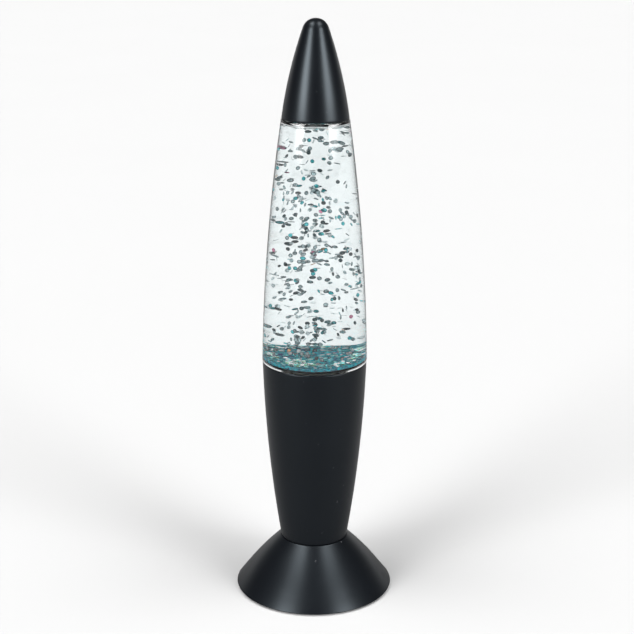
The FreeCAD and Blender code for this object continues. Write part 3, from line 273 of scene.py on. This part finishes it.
def along_side(side, start, end, inset=0.0, count=40):
    """Profile points that follow a bowed side from one height to another."""
    heights = [start + (end - start) * step / count for step in range(count + 1)]
    return [(bowed(side, height) - inset, height) for height in heights]


def round_edge(outside, height, first, last):
    """Profile points of a small round edge, between two directions in degrees."""
    return [(outside - EDGE_ROUND + EDGE_ROUND * math.cos(math.radians(turn)),
             height + EDGE_ROUND * math.sin(math.radians(turn)))
            for turn in range(first, last + 1, EDGE_STEP)]


def lower_edge(side, height):
    """A round edge that leads from the underside into a bowed side."""
    return round_edge(bowed(side, height), height, -90, -EDGE_STEP)


def upper_edge(side, height):
    """A round edge that leads from a bowed side onto the top."""
    return round_edge(bowed(side, height), height, EDGE_STEP, 90)


def start_fresh():
    """Leave edit mode with nothing selected."""
    if bpy.context.object and bpy.context.object.mode != "OBJECT":
        bpy.ops.object.mode_set(mode="OBJECT")
    bpy.ops.object.select_all(action="DESELECT")


def select_only(piece):
    """Select one piece and make it the active one."""
    start_fresh()
    piece.select_set(True)
    bpy.context.view_layer.objects.active = piece


def turned(name, profile):
    """Draw a profile in millimetres from one point, corner by corner, and spin it round the axis."""
    start_fresh()
    first = mm(profile[0][0], 0, profile[0][1])
    bpy.ops.mesh.primitive_plane_add(size=mm(1), location=first)
    piece = bpy.context.object
    piece.name = piece.data.name = name
    bpy.ops.object.transform_apply(location=True, rotation=True, scale=True)
    bpy.ops.object.mode_set(mode="EDIT")
    bpy.ops.mesh.select_mode(type="VERT")
    bpy.ops.mesh.select_all(action="SELECT")
    bpy.ops.mesh.merge(type="CENTER")
    for (radius, height), (next_radius, next_height) in zip(profile, profile[1:]):
        step = mm(next_radius - radius, 0, next_height - height)
        bpy.ops.mesh.extrude_vertices_move(TRANSFORM_OT_translate={"value": step})
    bpy.ops.mesh.select_all(action="SELECT")
    bpy.ops.mesh.spin(steps=TURN_STEPS, angle=math.tau, center=(0, 0, 0), axis=(0, 0, 1))
    bpy.ops.mesh.select_all(action="SELECT")
    bpy.ops.mesh.remove_doubles(threshold=1e-6)
    bpy.ops.mesh.select_all(action="SELECT")
    bpy.ops.mesh.normals_make_consistent(inside=False)
    bpy.ops.object.mode_set(mode="OBJECT")
    return piece


def apply_modifier(piece, kind, **settings):
    """Add a modifier with its settings, and apply it."""
    bpy.context.view_layer.objects.active = piece
    modifier = piece.modifiers.new(kind.lower(), kind)
    for setting, value in settings.items():
        setattr(modifier, setting, value)
    bpy.ops.object.modifier_apply(modifier=modifier.name)


def soften_edges(piece, width, segments=3):
    """Round the sharp edges by a width in millimetres, and shade the rest smooth."""
    select_only(piece)
    apply_modifier(piece, "BEVEL", width=mm(width), segments=segments, limit_method="ANGLE",
                   angle_limit=BEVEL_OVER, use_clamp_overlap=True)
    bpy.ops.object.shade_smooth_by_angle(angle=SMOOTH_UNDER)


def polar(circle, degrees):
    """The x and y of a place on a circle."""
    return circle * math.cos(math.radians(degrees)), circle * math.sin(math.radians(degrees))


def bosses(circle, turns, low, high, radius=3.0):
    """Plain round bosses on a circle, kept to be joined to their shell."""
    made = []
    for turn in turns:
        start_fresh()
        bpy.ops.mesh.primitive_cylinder_add(vertices=40, radius=mm(radius), depth=mm(high - low),
                                            location=mm(*polar(circle, turn), (low + high) / 2))
        bpy.ops.object.transform_apply(location=True, rotation=True, scale=True)
        made.append(bpy.context.object)
    return made


def joined(piece, extras):
    """Make one solid of a shell and what stands in it."""
    for extra in extras:
        apply_modifier(piece, "BOOLEAN", operation="UNION", solver="EXACT", object=extra)
        bpy.data.objects.remove(extra)
    return piece


def finish_piece(piece, material, body, slot, *nodes):
    """Give a new piece its material, its body and the CAD nodes that it stands for."""
    piece.data.materials.clear()
    piece.data.materials.append(material)
    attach(piece, body)
    if nodes:
        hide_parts(*nodes)


def satin_shell_plastic(name, scuff_size):
    """Satin black plastic: an etched skin, a few pale scuffs and handling marks."""
    def recipe(place):
        flow = grain(place, 0.03)
        etched = grain(place, 0.00035, 1.0)
        handled = grain(stretched(place, (1, 1, 2)), 0.012, 3.0)
        flecks = ease(grain(stretched(place, (1, 1, 2.5)), scuff_size, 5.0), 0.735, 0.76)
        return {"Base Color": blend(flecks, blend(flow, shade(LAMP_BLACK, 0.8), shade(LAMP_BLACK, 1.15)),
                                    (0.09, 0.09, 0.095, 1.0)),
                "Roughness": 0.31 + 0.08 * (etched - 0.5) + 0.07 * (handled - 0.5) + 0.15 * flecks,
                "Normal": relief(etched, 3e-6)}
    return finish(name, {"Specular IOR Level": 0.26, "Specular Tint": (0.80, 0.92, 1.0, 1.0)}, recipe)


SKIRT_RADIUS, SKIRT_LOW, SKIRT_HIGH = 45.3, 1.0, 7.98
FOOT_SIDE = ((40.33, SKIRT_HIGH), (19.2, 31.4), 0.77)
FOOT_WALL, FOOT_TOP, BOSS_SINK = 2.5, 31.2, 1.2
PLATE_REBATE, REBATE_STEP, REBATE_TOP = 42.4, 41.8, 2.8
SPIGOT_RADIUS, DECK_LOW, CUP_LOW = 17.8, 28.9, 31.6
LEAD_HOLE = 4.5

foot = turned("foot_shell", (
    [(PLATE_REBATE, SKIRT_LOW)] + round_edge(SKIRT_RADIUS, SKIRT_LOW + EDGE_ROUND, -90, 0)
    + along_side(FOOT_SIDE, SKIRT_HIGH, FOOT_TOP)
    + [(SPIGOT_RADIUS, FOOT_TOP), (SPIGOT_RADIUS, CUP_LOW), (LEAD_HOLE, CUP_LOW), (LEAD_HOLE, DECK_LOW)]
    + along_side(FOOT_SIDE, DECK_LOW, SKIRT_HIGH, inset=FOOT_WALL)
    + [(REBATE_STEP, REBATE_TOP), (PLATE_REBATE, REBATE_TOP), (PLATE_REBATE, SKIRT_LOW)]))
foot_bosses = bosses(36.0, (30, 150, 270), low=4.3, high=18.0)
foot_room = turned("foot_room", [(0, SKIRT_LOW), (40.0, SKIRT_LOW)]
                   + along_side(FOOT_SIDE, SKIRT_HIGH, FOOT_TOP, inset=BOSS_SINK)
                   + [(0, FOOT_TOP)])
for foot_boss in foot_bosses:
    apply_modifier(foot_boss, "BOOLEAN", operation="INTERSECT", solver="EXACT", object=foot_room)
bpy.data.objects.remove(foot_room)
joined(foot, foot_bosses)
soften_edges(foot, 0.25)
finish_piece(foot, satin_shell_plastic("foot_plastic", 0.0022), "base", "foot", "foot")
dress(worn_metal("waist_screw_zinc", (0.56, 0.56, 0.55), 0.3), "waist_screws")


# ---- Cup ----
# The tapered cup is moulded in the same black plastic. Its floor has bosses for the waist screws,
# and three ribbed bosses on its wall carry the light deck.

CUP_TOP, CUP_FLOOR, CUP_WALL = 138.5, 33.6, 2.0
CUP_SIDE = ((19.2, 31.4), (29.5, 138.6), 1.83)
CUP_EDGES = CUP_LOW + EDGE_ROUND, CUP_TOP - EDGE_ROUND
CUP_TURNS = 90, 210, 330
DECK_BOSS_LOW, DECK_BOSS_HIGH = 106.1, 115.1
RIB_LONG, RIB_WIDE = 5.0, 3.0

cup = turned("cup_shell", (
    [(LEAD_HOLE, CUP_LOW)] + lower_edge(CUP_SIDE, CUP_EDGES[0])
    + along_side(CUP_SIDE, *CUP_EDGES, count=90)
    + upper_edge(CUP_SIDE, CUP_EDGES[1])
    + along_side(CUP_SIDE, CUP_TOP, CUP_FLOOR, inset=CUP_WALL, count=60)
    + [(LEAD_HOLE, CUP_FLOOR), (LEAD_HOLE, CUP_LOW)]))
cup_bosses = (bosses(11.0, CUP_TURNS, low=33.0, high=39.6)
              + bosses(22.3, CUP_TURNS, DECK_BOSS_LOW, DECK_BOSS_HIGH))
for turn in CUP_TURNS:
    start_fresh()
    middle = mm(*polar(25.0, turn), (DECK_BOSS_LOW + DECK_BOSS_HIGH) / 2)
    bpy.ops.mesh.primitive_cube_add(size=1, location=middle, rotation=(0, 0, math.radians(turn)),
                                    scale=mm(RIB_LONG, RIB_WIDE, DECK_BOSS_HIGH - DECK_BOSS_LOW))
    bpy.ops.object.transform_apply(location=True, rotation=True, scale=True)
    cup_bosses.append(bpy.context.object)
joined(cup, cup_bosses)
soften_edges(cup, 0.25)
finish_piece(cup, satin_shell_plastic("cup_plastic", 0.0014), "base", "cup", "cup")


# ---- Motor and magnet drive ----
# A flat steel-cased motor hangs under the light deck in a folded strap. Its shaft carries a
# moulded disc with two magnets, which pulls the stirrer round through the bottle's floor.

dress(worn_metal("motor_can_steel", (0.62, 0.63, 0.64), 0.25, drawn=(1, 1, 6)), "motor_can")
dress(moulded_plastic("motor_cap_nylon", (0.72, 0.72, 0.68), 0.45), "motor_end_cap")
dress(worn_metal("strap_steel", (0.55, 0.56, 0.57), 0.33, drawn=(6, 1, 1)), "motor_bracket")
dress(worn_metal("strap_screw_zinc", (0.56, 0.56, 0.55), 0.3), "bracket_screws")
dress(worn_metal("ground_shaft", (0.62, 0.62, 0.62), 0.14), "motor_shaft")
dress(moulded_plastic("drive_disc_nylon", (0.7, 0.7, 0.66), 0.42), "drive_disc")
dress(worn_metal("drive_magnet_nickel", (0.5, 0.5, 0.51), 0.2), "drive_magnets")


# ---- Light deck and lamp board ----
# A white moulded deck seats the bottle's spigot and holds a ring-shaped circuit board with six
# clear-lensed light-emitting diodes round the drive disc.

def board_laminate(name):
    """Green solder resist over copper tracks that run round and across the ring."""
    def recipe(place):
        tracks = place.add("TexBrick", {"offset": 0.5},
                           {"Vector": place, "Scale": 260.0, "Mortar Size": 0.06, "Mortar Smooth": 0.3},
                           out=1)
        weave = grain(place, 0.0005)
        resist = blend(tracks, (0.012, 0.11, 0.045, 1.0), (0.03, 0.2, 0.08, 1.0))
        return {"Base Color": resist, "Roughness": 0.28 + 0.12 * weave,
                "Normal": relief(tracks + 0.3 * weave, 2e-5)}
    return finish(name, {}, recipe)


def diode_epoxy(name):
    """White moulded case below, clear pale epoxy dome above."""
    def recipe(place):
        height = place.add("SeparateXYZ", {}, {0: place}, out=2)
        dome = ease(height, 0.1290, 0.1292)
        haze = grain(place, 0.0008)
        return {"Base Color": blend(dome, (0.8, 0.8, 0.76, 1.0), (0.9, 0.88, 0.55, 1.0)),
                "Roughness": 0.4 - 0.32 * dome + 0.05 * haze, "Coat Weight": dome,
                "Normal": relief(haze, 1e-5)}
    return finish(name, {}, recipe)


dress(moulded_plastic("deck_plastic", (0.78, 0.78, 0.75), 0.4), "light_deck")
dress(worn_metal("deck_screw_zinc", (0.56, 0.56, 0.55), 0.3), "deck_screws")
dress(board_laminate("lamp_board_laminate"), "led_board")
dress(diode_epoxy("diode_epoxy"), "leds")
dress(worn_metal("board_screw_zinc", (0.56, 0.56, 0.55), 0.3), "board_screws")


# ---- Bottle ----
# The clear bottle is blow-moulded with a bowed wall and a short neck. Its floor has a ring that
# plugs into the light deck and a well in which the stirrer turns.

SHOULDER, SEAT, FLOOR_HEIGHT, BOTTLE_WALL = 276.2, 138.7, 140.7, 1.8
BOTTLE_SIDE = ((29.7, 138.6), (18.8, SHOULDER), 2.18)
BOTTLE_EDGES = SEAT + EDGE_ROUND, SHOULDER - EDGE_ROUND
RING_OUTSIDE, RING_INSIDE, RING_LOW = 25.3, 23.9, 130.7
WELL_OUTSIDE, WELL_BORE, WELL_FLOOR = 13.5, 12.0, 132.6
GRILLE_BORE, GRILLE_SEAT = 14.0, 139.3
NECK_RADIUS, NECK_BORE, NECK_TOP, SHOULDER_INSIDE = 10.5, 8.7, 290.0, 274.4


def clear_plastic(name):
    """Clear styrene, faintly blue-green, with very fine handling haze."""
    def recipe(place):
        haze = grain(place, 0.01, 4.0)
        waves = grain(stretched(place, (1, 1, 4)), 0.012)
        return {"Base Color": blend(haze, (0.955, 0.985, 0.99, 1.0), (0.985, 1.0, 1.0, 1.0)),
                "Roughness": 0.02 * haze, "Normal": relief(waves, 2e-5)}
    return finish(name, {"Transmission Weight": 1.0, "IOR": 1.5}, recipe)


bottle = turned("clear_bottle", (
    [(0, RING_LOW), (WELL_OUTSIDE, RING_LOW), (WELL_OUTSIDE, SEAT), (RING_INSIDE, SEAT),
     (RING_INSIDE, RING_LOW), (RING_OUTSIDE, RING_LOW), (RING_OUTSIDE, SEAT)]
    + lower_edge(BOTTLE_SIDE, BOTTLE_EDGES[0])
    + along_side(BOTTLE_SIDE, *BOTTLE_EDGES, count=110)
    + upper_edge(BOTTLE_SIDE, BOTTLE_EDGES[1])
    + [(NECK_RADIUS, SHOULDER), (NECK_RADIUS, NECK_TOP), (NECK_BORE, NECK_TOP),
       (NECK_BORE, SHOULDER_INSIDE)]
    + along_side(BOTTLE_SIDE, SHOULDER_INSIDE, FLOOR_HEIGHT, inset=BOTTLE_WALL, count=90)
    + [(GRILLE_BORE, FLOOR_HEIGHT), (GRILLE_BORE, GRILLE_SEAT), (WELL_BORE, GRILLE_SEAT),
       (WELL_BORE, WELL_FLOOR), (0, WELL_FLOOR)]))
soften_edges(bottle, 0.2, segments=2)
finish_piece(bottle, clear_plastic("bottle_plastic"), "bottle", "bottle", "bottle")


# ---- Stirrer in its well ----
# A small vaned disc with two magnets spins on a steel pin in the well, under a slotted grille
# that keeps fingers of settled glitter off it.

dress(moulded_plastic("stirrer_acetal", (0.75, 0.75, 0.73), 0.4), "stirrer")
dress(worn_metal("stirrer_magnet_nickel", (0.5, 0.5, 0.51), 0.2), "stirrer_magnets")
dress(worn_metal("stirrer_pin_steel", (0.62, 0.62, 0.62), 0.12), "stirrer_pin")
dress(moulded_plastic("grille_acetal", (0.05, 0.12, 0.14), 0.35), "well_grille")


# ---- Glitter ----
# Round punched foil flakes, a little over 2 mm across. Most float, more of them low down; some
# ride on the liquid's surface, and a deep blue-green layer has settled on the floor.

FLAKE_RADIUS, FLAKE_THICK = 1.12, 0.09
SURFACE_HEIGHT = 273.4
DRIFTS, DRIFT_SIZES, UPRIGHT_SHARE = 150, (1, 2, 3, 5, 8, 10), 0.72
LOWEST, HIGHEST = 146.0, SURFACE_HEIGHT - 1.8
SETTLED_COUNT, LAYER_EDGE = 620, 142.0
random.seed(7)


def punched_flake():
    """One flake: a ten-sided disc with its middle inset, given its thickness."""
    start_fresh()
    bpy.ops.mesh.primitive_circle_add(vertices=10, radius=mm(FLAKE_RADIUS), fill_type="NGON")
    flake = bpy.context.object
    bpy.ops.object.mode_set(mode="EDIT")
    bpy.ops.mesh.select_all(action="SELECT")
    bpy.ops.mesh.inset(thickness=mm(FLAKE_RADIUS * 0.42))
    bpy.ops.object.mode_set(mode="OBJECT")
    apply_modifier(flake, "SOLIDIFY", thickness=mm(FLAKE_THICK), offset=0.0)
    return flake


FLAKE_TINTS_AND_HIGHLIGHTS = (
    # share, rim colour, middle colour; the far lighter middle is a painted highlight
    (0.52, (0.020, 0.048, 0.058), (0.44, 0.55, 0.57)),
    (0.18, (0.012, 0.026, 0.034), (0.05, 0.09, 0.10)),
    (0.12, (0.40, 0.50, 0.52), (0.72, 0.80, 0.82)),
    (0.14, (0.008, 0.17, 0.21), (0.06, 0.55, 0.60)),
    (0.02, (0.25, 0.05, 0.12), (0.75, 0.25, 0.40)),
    (0.02, (0.25, 0.10, 0.03), (0.80, 0.45, 0.20)),
)
# share, rim colour, middle colour; the lighter middles are painted highlights, and the near-white last row
# on matt film is painted glints
SETTLED_TINTS_AND_HIGHLIGHTS = (
    (0.24, (0.00, 0.22, 0.34), (0.01, 0.46, 0.60)),
    (0.30, (0.00, 0.44, 0.50), (0.05, 0.80, 0.84)),
    (0.16, (0.00, 0.05, 0.13), (0.00, 0.12, 0.26)),
    (0.20, (0.15, 0.85, 0.86), (0.45, 1.00, 1.00)),
    (0.10, (0.75, 1.00, 1.00), (1.00, 1.00, 1.00)),
)
SPARKLE_TINTS = (
    (0.50, (0.75, 0.98, 0.96), (1.00, 1.00, 1.00)),
    (0.30, (0.00, 0.60, 0.55), (0.35, 1.00, 0.92)),
    (0.20, (0.05, 0.50, 0.25), (0.45, 0.98, 0.65)),
)


def pick_tint(tints):
    """A rim and a middle colour, drawn by their shares."""
    draw = random.random()
    for share, rim, middle in tints:
        draw -= share
        if draw < 0:
            return rim, middle
    return tints[0][1:]


def scatter(name, pattern, spots, tints):
    """Copy the flake to each spot, colour each copy with a rim tint and a lighter middle as a painted
    highlight, and join them as one piece.
    """
    copies = []
    for place, turn in spots:
        made = pattern.copy()
        made.data = pattern.data.copy()
        made.data.transform(Matrix.Translation(place) @ turn.to_matrix().to_4x4())
        rim, middle = pick_tint(tints)
        # Each copy's brightness differs at random: partly real tone, partly painted shade and highlight
        # standing in for the light its tilt would catch.
        light = random.uniform(0.75, 1.2)
        tint_and_highlight = made.data.color_attributes.new("tint_and_highlight", "FLOAT_COLOR", "POINT")
        for index, corner in enumerate(pattern.data.vertices):
            near = math.hypot(corner.co.x, corner.co.y) < mm(FLAKE_RADIUS * 0.7)
            # Painted highlight: the middle of each flake takes a much lighter colour than its rim.
            colour = middle if near else rim
            tint_and_highlight.data[index].color = tuple(min(channel * light, 1.0) for channel in colour) + (1.0,)
        bpy.context.collection.objects.link(made)
        copies.append(made)
    start_fresh()
    for made in copies:
        made.select_set(True)
    bpy.context.view_layer.objects.active = copies[0]
    bpy.ops.object.join()
    piece = bpy.context.object
    piece.name = piece.data.name = name
    return piece


def foil(name, roughness, metal):
    """Metallised film whose tint and painted middle highlight each flake carries, crinkled a little."""
    def recipe(place):
        tint_and_highlight = place.add("Attribute", {"attribute_name": "tint_and_highlight"}, out=0)
        crinkle = grain(place, 0.0009, 2.0)
        return {"Base Color": tint_and_highlight, "Roughness": roughness + 0.15 * crinkle,
                "Normal": relief(crinkle, 6e-5)}
    return finish(name, {"Metallic": metal, "Specular IOR Level": 0.0}, recipe)


def inner_radius(height):
    """How far from the axis a flake's middle may lie at a height."""
    return bowed(BOTTLE_SIDE, height) - BOTTLE_WALL - FLAKE_RADIUS - 0.25


def spot_at(reach, around_turn, height, tilt, facing=None):
    """A place in the liquid, and how a flake there is tilted towards the way that it faces."""
    x, y = polar(reach, around_turn)
    facing = random.uniform(0, 360) if facing is None else facing
    return Vector(mm(x, y, height)), Euler((math.radians(tilt), 0, math.radians(facing + 90)))


floating = []
for drift in range(DRIFTS):
    middle_height = 144.5 + (SURFACE_HEIGHT - 147.0) * random.random() ** 1.2
    middle_turn, middle_reach = random.uniform(0, 360), math.sqrt(random.random())
    for member in range(random.choice(DRIFT_SIZES)):
        height = min(max(middle_height + random.gauss(0, 5.0), LOWEST), HIGHEST)
        share = min(max(middle_reach + random.gauss(0, 0.16), 0), 1)
        turn = middle_turn + random.gauss(0, 18)
        reach = inner_radius(height) * share
        if random.random() < UPRIGHT_SHARE:
            floating.append(spot_at(reach, turn, height, random.gauss(66, 20),
                                    turn + random.gauss(0, 32)))
        else:
            floating.append(spot_at(reach, turn, height, random.gauss(0, 25)))
for turn in range(0, 360, 8):
    if random.random() < 0.8:
        floating.append(spot_at(inner_radius(SURFACE_HEIGHT - 0.6) - abs(random.gauss(0, 1.0)),
                                turn + random.uniform(-2, 2), SURFACE_HEIGHT - random.uniform(0.4, 0.9),
                                random.gauss(0, 6)))
flake = punched_flake()
flakes = scatter("floating_flakes", flake, floating, FLAKE_TINTS_AND_HIGHLIGHTS)
finish_piece(flakes, foil("floating_foil", 0.2, 0.6), "bottle", "glitter_flakes", "glitter_flakes")

settled = []
for step in range(SETTLED_COUNT):
    reach = inner_radius(LAYER_EDGE) * math.sqrt(random.random())
    settled.append(spot_at(reach, random.uniform(0, 360), FLOOR_HEIGHT + 1.4 + abs(random.gauss(0, 0.3)),
                           random.gauss(0, 9)))
layer = scatter("settled_flakes", flake, settled, SETTLED_TINTS_AND_HIGHLIGHTS)
# The settled flakes are matt, so their white copies are painted glints, not reflections.
finish_piece(layer, foil("settled_foil", 0.3, 0.0), "bottle", "glitter_bed")

SPARKLE_CLUMPS = (
    # reach, turn, count
    (17, 234, 40), (20, 258, 24), (23, 243, 22), (21, 344, 18), (24, 305, 16),
    (21, 80, 12), (21, 130, 16), (20, 30, 14), (19, 185, 14),
)
sparkles = []
for reach, turn, count in SPARKLE_CLUMPS:
    for member in range(count):
        way = turn + random.gauss(0, 8)
        sparkles.append(spot_at(min(abs(reach + random.gauss(0, 2.2)), inner_radius(LAYER_EDGE + 0.5)), way,
                                FLOOR_HEIGHT + 2.1 + abs(random.gauss(0, 0.4)), random.gauss(9, 7),
                                way + random.gauss(0, 20)))
bright = scatter("sparkling_flakes", flake, sparkles, SPARKLE_TINTS)
finish_piece(bright, foil("sparkling_foil", 0.1, 1.0), "bottle", "glitter_bed")
bpy.data.objects.remove(flake)


def packed_glitter(name):
    """Closely packed flakes seen as a mass: deep blue-green cells that each tilt a little."""
    def recipe(place):
        cells = place.add("TexVoronoi", {}, {"Vector": place, "Scale": 700.0}, out=1)
        random_cell = cells.add("SeparateColor", {}, {0: cells})
        return {"Base Color": blend(random_cell, (0.0, 0.12, 0.22, 1.0), (0.0, 0.66, 0.78, 1.0)),
                "Roughness": 0.25 + 0.2 * random_cell, "Normal": relief(random_cell, 0.00025)}
    return finish(name, {"Specular IOR Level": 0.0}, recipe)


BED_LOW, BED_EDGE, BED_INSET = FLOOR_HEIGHT + 0.05, LAYER_EDGE + 0.2, BOTTLE_WALL + 0.1
BED_RIPPLES = [(26.5, 142.35), (20.0, 142.0), (14.0, 142.2), (7.0, 141.95), (0, 142.1)]
bed = turned("settled_bed", [(0, BED_LOW), (27.75, BED_LOW)]
             + along_side(BOTTLE_SIDE, BED_LOW, BED_EDGE, BED_INSET, 4) + BED_RIPPLES)
soften_edges(bed, 0.15)
finish_piece(bed, packed_glitter("settled_mass"), "bottle", "glitter_bed", "glitter_bed")


# ---- Liquid ----
# Clear water-thin liquid fills the bottle to just under its shoulder, with a small meniscus
# where it meets the wall.

def clear_liquid(name):
    """Water with a trace of blue-green dye."""
    def recipe(place):
        swirl = grain(place, 0.02)
        return {"Base Color": blend(swirl, (0.965, 0.995, 1.0, 1.0), (0.98, 1.0, 1.0, 1.0)),
                "Normal": relief(swirl, 1e-6)}
    return finish(name, {"Transmission Weight": 1.0, "IOR": 1.33, "Roughness": 0.0}, recipe)


LIQUID_LOW, WET_EDGE, WALL_OVERLAP = FLOOR_HEIGHT + 0.02, SURFACE_HEIGHT + 0.5, 0.08
wet_radius = bowed(BOTTLE_SIDE, WET_EDGE)
liquid = turned("clear_liquid", [(0, LIQUID_LOW)]
                + along_side(BOTTLE_SIDE, LIQUID_LOW, WET_EDGE, BOTTLE_WALL - WALL_OVERLAP, 100)
                + [(wet_radius - 2.2, SURFACE_HEIGHT + 0.2), (wet_radius - 3.2, SURFACE_HEIGHT),
                   (0, SURFACE_HEIGHT)])
select_only(liquid)
bpy.ops.object.shade_smooth_by_angle(angle=SMOOTH_UNDER)
finish_piece(liquid, clear_liquid("lamp_liquid"), "bottle", "lamp_liquid", "lamp_liquid")


# ---- Stopper ----
# A grey moulded stopper with a flange is pressed into the bottle's neck. A rubber ring under its
# flange seals the liquid in, and the cap covers both.

dress(moulded_plastic("stopper_plastic", (0.7, 0.71, 0.71), 0.38), "neck_plug")
dress(soft_rubber("gasket_rubber", (0.03, 0.03, 0.03)), "plug_gasket")


# ---- Cap ----
# The pointed cap is moulded hollow in the satin black plastic. A collar inside it grips the
# stopper's flange, so it pulls straight off.

NOSE_RADIUS, NOSE_BASE, TIP, NOSE_STEPS = 7.17, 324.62, 330.0, 16
CAP_SIDE = ((18.6, SHOULDER), (NOSE_RADIUS, NOSE_BASE), 1.25)
CAP_LOW, CAP_WALL, HOLLOW_TOP = 276.4, 1.9, 323.1
COLLAR_OUTSIDE, COLLAR_BORE, COLLAR_LOW, COLLAR_TOP = 12.9, 11.7, 279.2, 293.2
WEB_LOW, WEB_TOP = 285.2, 286.7

nose_height = TIP - NOSE_BASE
nose_arc = (NOSE_RADIUS ** 2 + nose_height ** 2) / (2 * nose_height)
nose_turns = [math.asin(NOSE_RADIUS / nose_arc) * (1 - step / NOSE_STEPS)
              for step in range(1, NOSE_STEPS + 1)]
cap = turned("pointed_cap", (
    [(bowed(CAP_SIDE, CAP_LOW) - CAP_WALL, CAP_LOW)] + lower_edge(CAP_SIDE, CAP_LOW + EDGE_ROUND)
    + along_side(CAP_SIDE, CAP_LOW + EDGE_ROUND, NOSE_BASE, count=60)
    + [(nose_arc * math.sin(turn), TIP - nose_arc * (1 - math.cos(turn))) for turn in nose_turns]
    + [(0, HOLLOW_TOP)] + along_side(CAP_SIDE, HOLLOW_TOP, WEB_TOP, inset=CAP_WALL, count=40)
    + [(COLLAR_OUTSIDE, WEB_TOP), (COLLAR_OUTSIDE, COLLAR_TOP), (COLLAR_BORE, COLLAR_TOP),
       (COLLAR_BORE, COLLAR_LOW), (COLLAR_OUTSIDE, COLLAR_LOW), (COLLAR_OUTSIDE, WEB_LOW)]
    + along_side(CAP_SIDE, WEB_LOW, CAP_LOW, inset=CAP_WALL, count=12)))
soften_edges(cap, 0.2)
finish_piece(cap, satin_shell_plastic("cap_plastic", 0.0009), "cap", "top_cap", "top_cap")


# ---- Floor, light and camera ----
# A plain pale floor in a soft studio: a bright wall behind, a dim room in front, and two long
# soft boxes that run from the front up over the lamp.

start_fresh()
FLOOR_SIZE, FLOOR_TONE, MIRRORED_SHARE = 60, 0.5, 0.45
bpy.ops.mesh.primitive_plane_add(size=FLOOR_SIZE)
floor = bpy.context.object
floor.name = "floor"


def pale_floor(place):
    """Matt pale board, painted darker where the satin plastic mirrors it: a painted dim reflection that only
    glossy rays see.
    """
    mirrored = (place.add("LightPath", out="Is Glossy Ray")
                * (1 - place.add("LightPath", out="Is Transmission Ray")))
    board = blend(grain(place, 0.3), shade((FLOOR_TONE,) * 3, 0.99), shade((FLOOR_TONE,) * 3, 1.01))
    # Painted reflection: glossy rays see the board at a darker colour than the camera does.
    return {"Base Color": blend(mirrored, board, shade((FLOOR_TONE,) * 3, MIRRORED_SHARE)), "Roughness": 0.8}


floor.data.materials.append(finish("pale_floor", {"Specular IOR Level": 0.1}, pale_floor))

WALL_LIGHT, ROOM_LIGHT, TOP_LIGHT, BOX_LIGHT, SEEN_LIGHT = 1.1, 0.05, 0.15, 20.0, 0.93
studio = bpy.data.worlds.new("studio")
bpy.context.scene.world = studio
studio.use_nodes = True
tree = studio.node_tree
tree.nodes.clear()
air = Wire(tree).add("TexCoord", out="Generated")
side, back, up = (air.add("SeparateXYZ", {}, {0: air}, out=axis) for axis in range(3))
behind = ease(back, 0.30, 0.80)
high = ease(up, -0.05, 0.30)
room = (ROOM_LIGHT + (WALL_LIGHT - ROOM_LIGHT) * behind * (1 - high)
        + (TOP_LIGHT - ROOM_LIGHT) * high * behind)
box_reach = (ease(up, 0.0, 0.15) * (1 - 0.86 * ease(up, 0.40, 0.66)) + 0.42 * ease(up, 0.74, 0.92)) * (
    1 - ease(back, 0.0, 0.3))
left_box = 1 - ease(abs(side + (0.79 - 0.43 * up)), 0.08, 0.20)
right_box = 0.85 - 0.85 * ease(abs(side - (0.86 - 0.50 * up)), 0.08, 0.18)
lights = room + BOX_LIGHT * box_reach * (left_box + right_box)
through = 0.62 + 0.42 * ease(back, -0.5, 0.35)
refracted = Wire(tree).add("LightPath", out="Is Transmission Ray")
seen = Wire(tree).add("LightPath", out="Is Camera Ray")
strength = lights + refracted * (through - lights)
strength = strength + seen * (SEEN_LIGHT - strength)
glow = strength.add("Background", {}, {"Color": (1.0, 1.0, 1.0, 1.0), "Strength": strength})
tree.links.new(glow.socket, tree.nodes.new("ShaderNodeOutputWorld").inputs["Surface"])

CAMERA_BACK, CAMERA_UP = 0.8078, 0.409
TILT_DOWN, TURN_RIGHT, ROLL = 16.889, 0.09, 0.23
bpy.ops.object.camera_add(location=(0, -CAMERA_BACK, CAMERA_UP))
camera = bpy.context.object
camera.name = "camera"
camera.data.lens, camera.data.sensor_width, camera.data.clip_end = 85, 36, 100
camera.rotation_euler = (Matrix.Rotation(math.radians(-TURN_RIGHT), 3, "Z")
                         @ Matrix.Rotation(math.radians(90 - TILT_DOWN), 3, "X")
                         @ Matrix.Rotation(math.radians(ROLL), 3, "Z")).to_euler()
bpy.context.scene.camera = camera
bpy.context.scene.view_settings.view_transform = "Standard"
